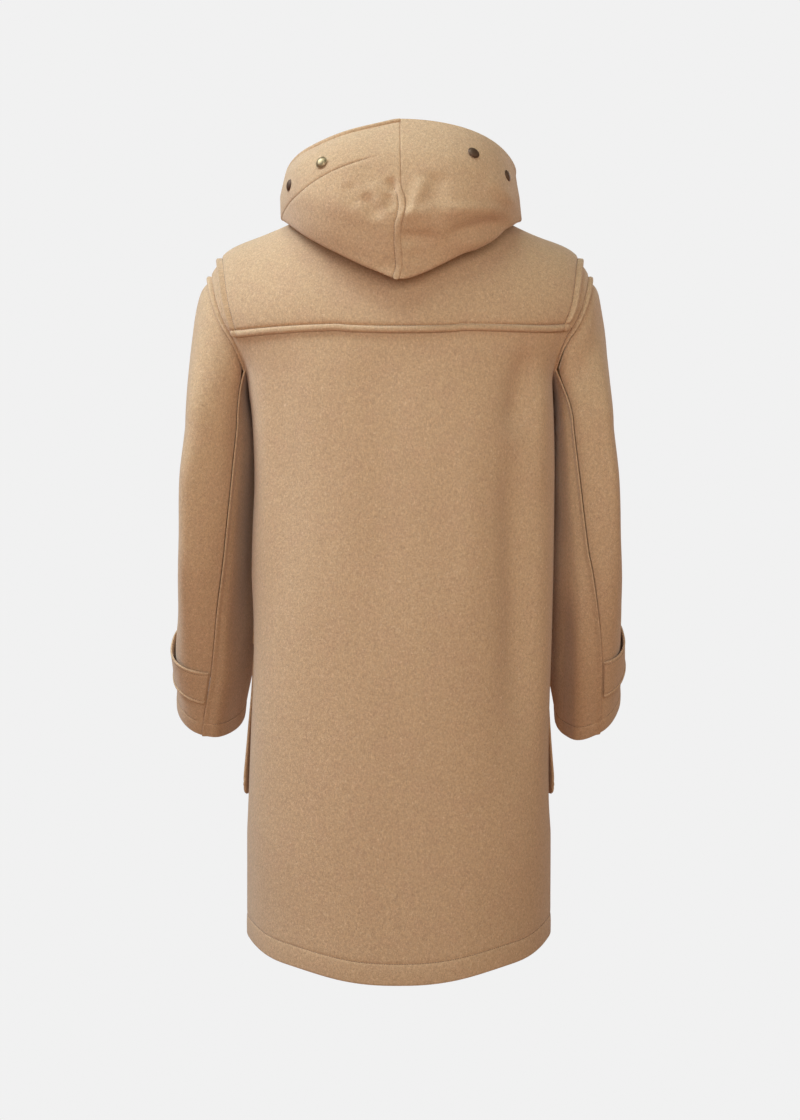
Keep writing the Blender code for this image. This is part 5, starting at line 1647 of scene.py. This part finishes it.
# Lamps: degrees from straight behind the coat towards its left, degrees
# above the level, distance, width, power and colour.
Lamp = namedtuple("Lamp", "name azimuth elevation distance size watts colour")
LAMPS = (
    Lamp("left", 80, 50, 3.2, 1.4, 103, (0.63, 0.82, 1.0)),
    Lamp("low", 65, -5, 3.2, 1.2, 4.4, (1.0, 0.90, 0.98)),
    Lamp("kick", 35, 12, 3.2, 1.2, 11.5, (0.45, 0.77, 1.0)),
    Lamp("rear", 10, 62, 3.0, 1.2, 18, (0.66, 0.95, 1.0)),
    Lamp("right", -60, 20, 3.2, 1.6, 14.5, (0.82, 1.0, 1.0)),
    Lamp("back", 0, 10, 3.2, 1.6, 39, (0.92, 0.96, 1.0)),
    Lamp("crown", 45, 80, 3.0, 1.2, 7.6, (0.88, 1.0, 0.98)),
    Lamp("front", 215, 25, 3.2, 1.6, 20, (1.0, 0.95, 0.90)),
)


def add_camera():
    data = bpy.data.cameras.new("camera")
    data.sensor_fit = "VERTICAL"
    data.sensor_height = SENSOR_HEIGHT
    data.sensor_width = SENSOR_HEIGHT * PICTURE_WIDTH / PICTURE_HEIGHT
    data.lens = CAMERA_LENS
    camera = bpy.data.objects.new("camera", data)
    camera.location = CAMERA_PLACE
    camera.rotation_euler = radians(90), 0, radians(180)
    bpy.context.scene.collection.objects.link(camera)
    bpy.context.scene.camera = camera


def add_lamp(lamp):
    data = bpy.data.lights.new(lamp.name, "AREA")
    data.shape = "DISK"
    data.size = lamp.size
    data.energy = lamp.watts
    data.color = lamp.colour
    light = bpy.data.objects.new(lamp.name, data)
    turn, rise = radians(lamp.azimuth), radians(lamp.elevation)
    way = Vector((sin(turn) * cos(rise), cos(turn) * cos(rise), sin(rise)))
    light.location = Vector(AIM) + way * lamp.distance
    light.rotation_euler = (-way).to_track_quat("-Z", "Y").to_euler()
    bpy.context.scene.collection.objects.link(light)


def add_world():
    """Flat pale backdrop, and room light that is brighter from below."""
    world = bpy.data.worlds.new("studio")
    world.use_nodes = True
    tree = world.node_tree
    room = tree.nodes["Background"]
    place = tree.nodes.new("ShaderNodeTexCoord").outputs["Generated"]
    split = tree.nodes.new("ShaderNodeSeparateXYZ")
    tree.links.new(place, split.inputs[0])
    rise = add_ramp(tree, split.outputs["Z"], -1, 1)
    tint = add_mix(tree, rise, (*GROUND, 1), (*SKY, 1))
    tree.links.new(tint, room.inputs["Color"])
    seen = tree.nodes.new("ShaderNodeBackground")
    seen.inputs["Color"].default_value = (BACKGROUND, BACKGROUND, BACKGROUND, 1)
    ray = tree.nodes.new("ShaderNodeLightPath")
    mix = tree.nodes.new("ShaderNodeMixShader")
    tree.links.new(ray.outputs["Is Camera Ray"], mix.inputs[0])
    tree.links.new(room.outputs[0], mix.inputs[1])
    tree.links.new(seen.outputs[0], mix.inputs[2])
    tree.links.new(mix.outputs[0], tree.nodes["World Output"].inputs["Surface"])
    bpy.context.scene.world = world


def add_room():
    """Brown floor, flat pale backdrop and soft light from the upper left."""
    add_world()
    for lamp in LAMPS:
        add_lamp(lamp)
    floor = bpy.data.materials.new("floor")
    floor.use_nodes = True
    shader = floor.node_tree.nodes["Principled BSDF"]
    shader.inputs["Base Color"].default_value = FLOOR_COLOUR
    shader.inputs["Roughness"].default_value = FLOOR_ROUGH
    angles = np.arange(FLOOR_SIDES) * 2 * pi / FLOOR_SIDES
    ring = [(FLOOR_RADIUS * cos(a), FLOOR_RADIUS * sin(a), FLOOR_Z) for a in angles]
    disc = new_piece("floor", ring, [tuple(range(FLOOR_SIDES))], floor)
    bpy.context.scene.view_settings.view_transform = "Standard"


# -------------------------------------------------------------------- build
def main():
    add_camera()
    add_room()
    add_materials()
    add_back()
    add_yoke()
    for side in SIDES:
        add_front(side)
        add_sleeve(side)
        add_hood(side)
        add_pocket(side)
        add_strap(side)
    add_snaps()
    add_buttons()
    for number, z in enumerate(CLOSURE_Z, 1):
        add_closure(number, z)
    add_stitches()


main()
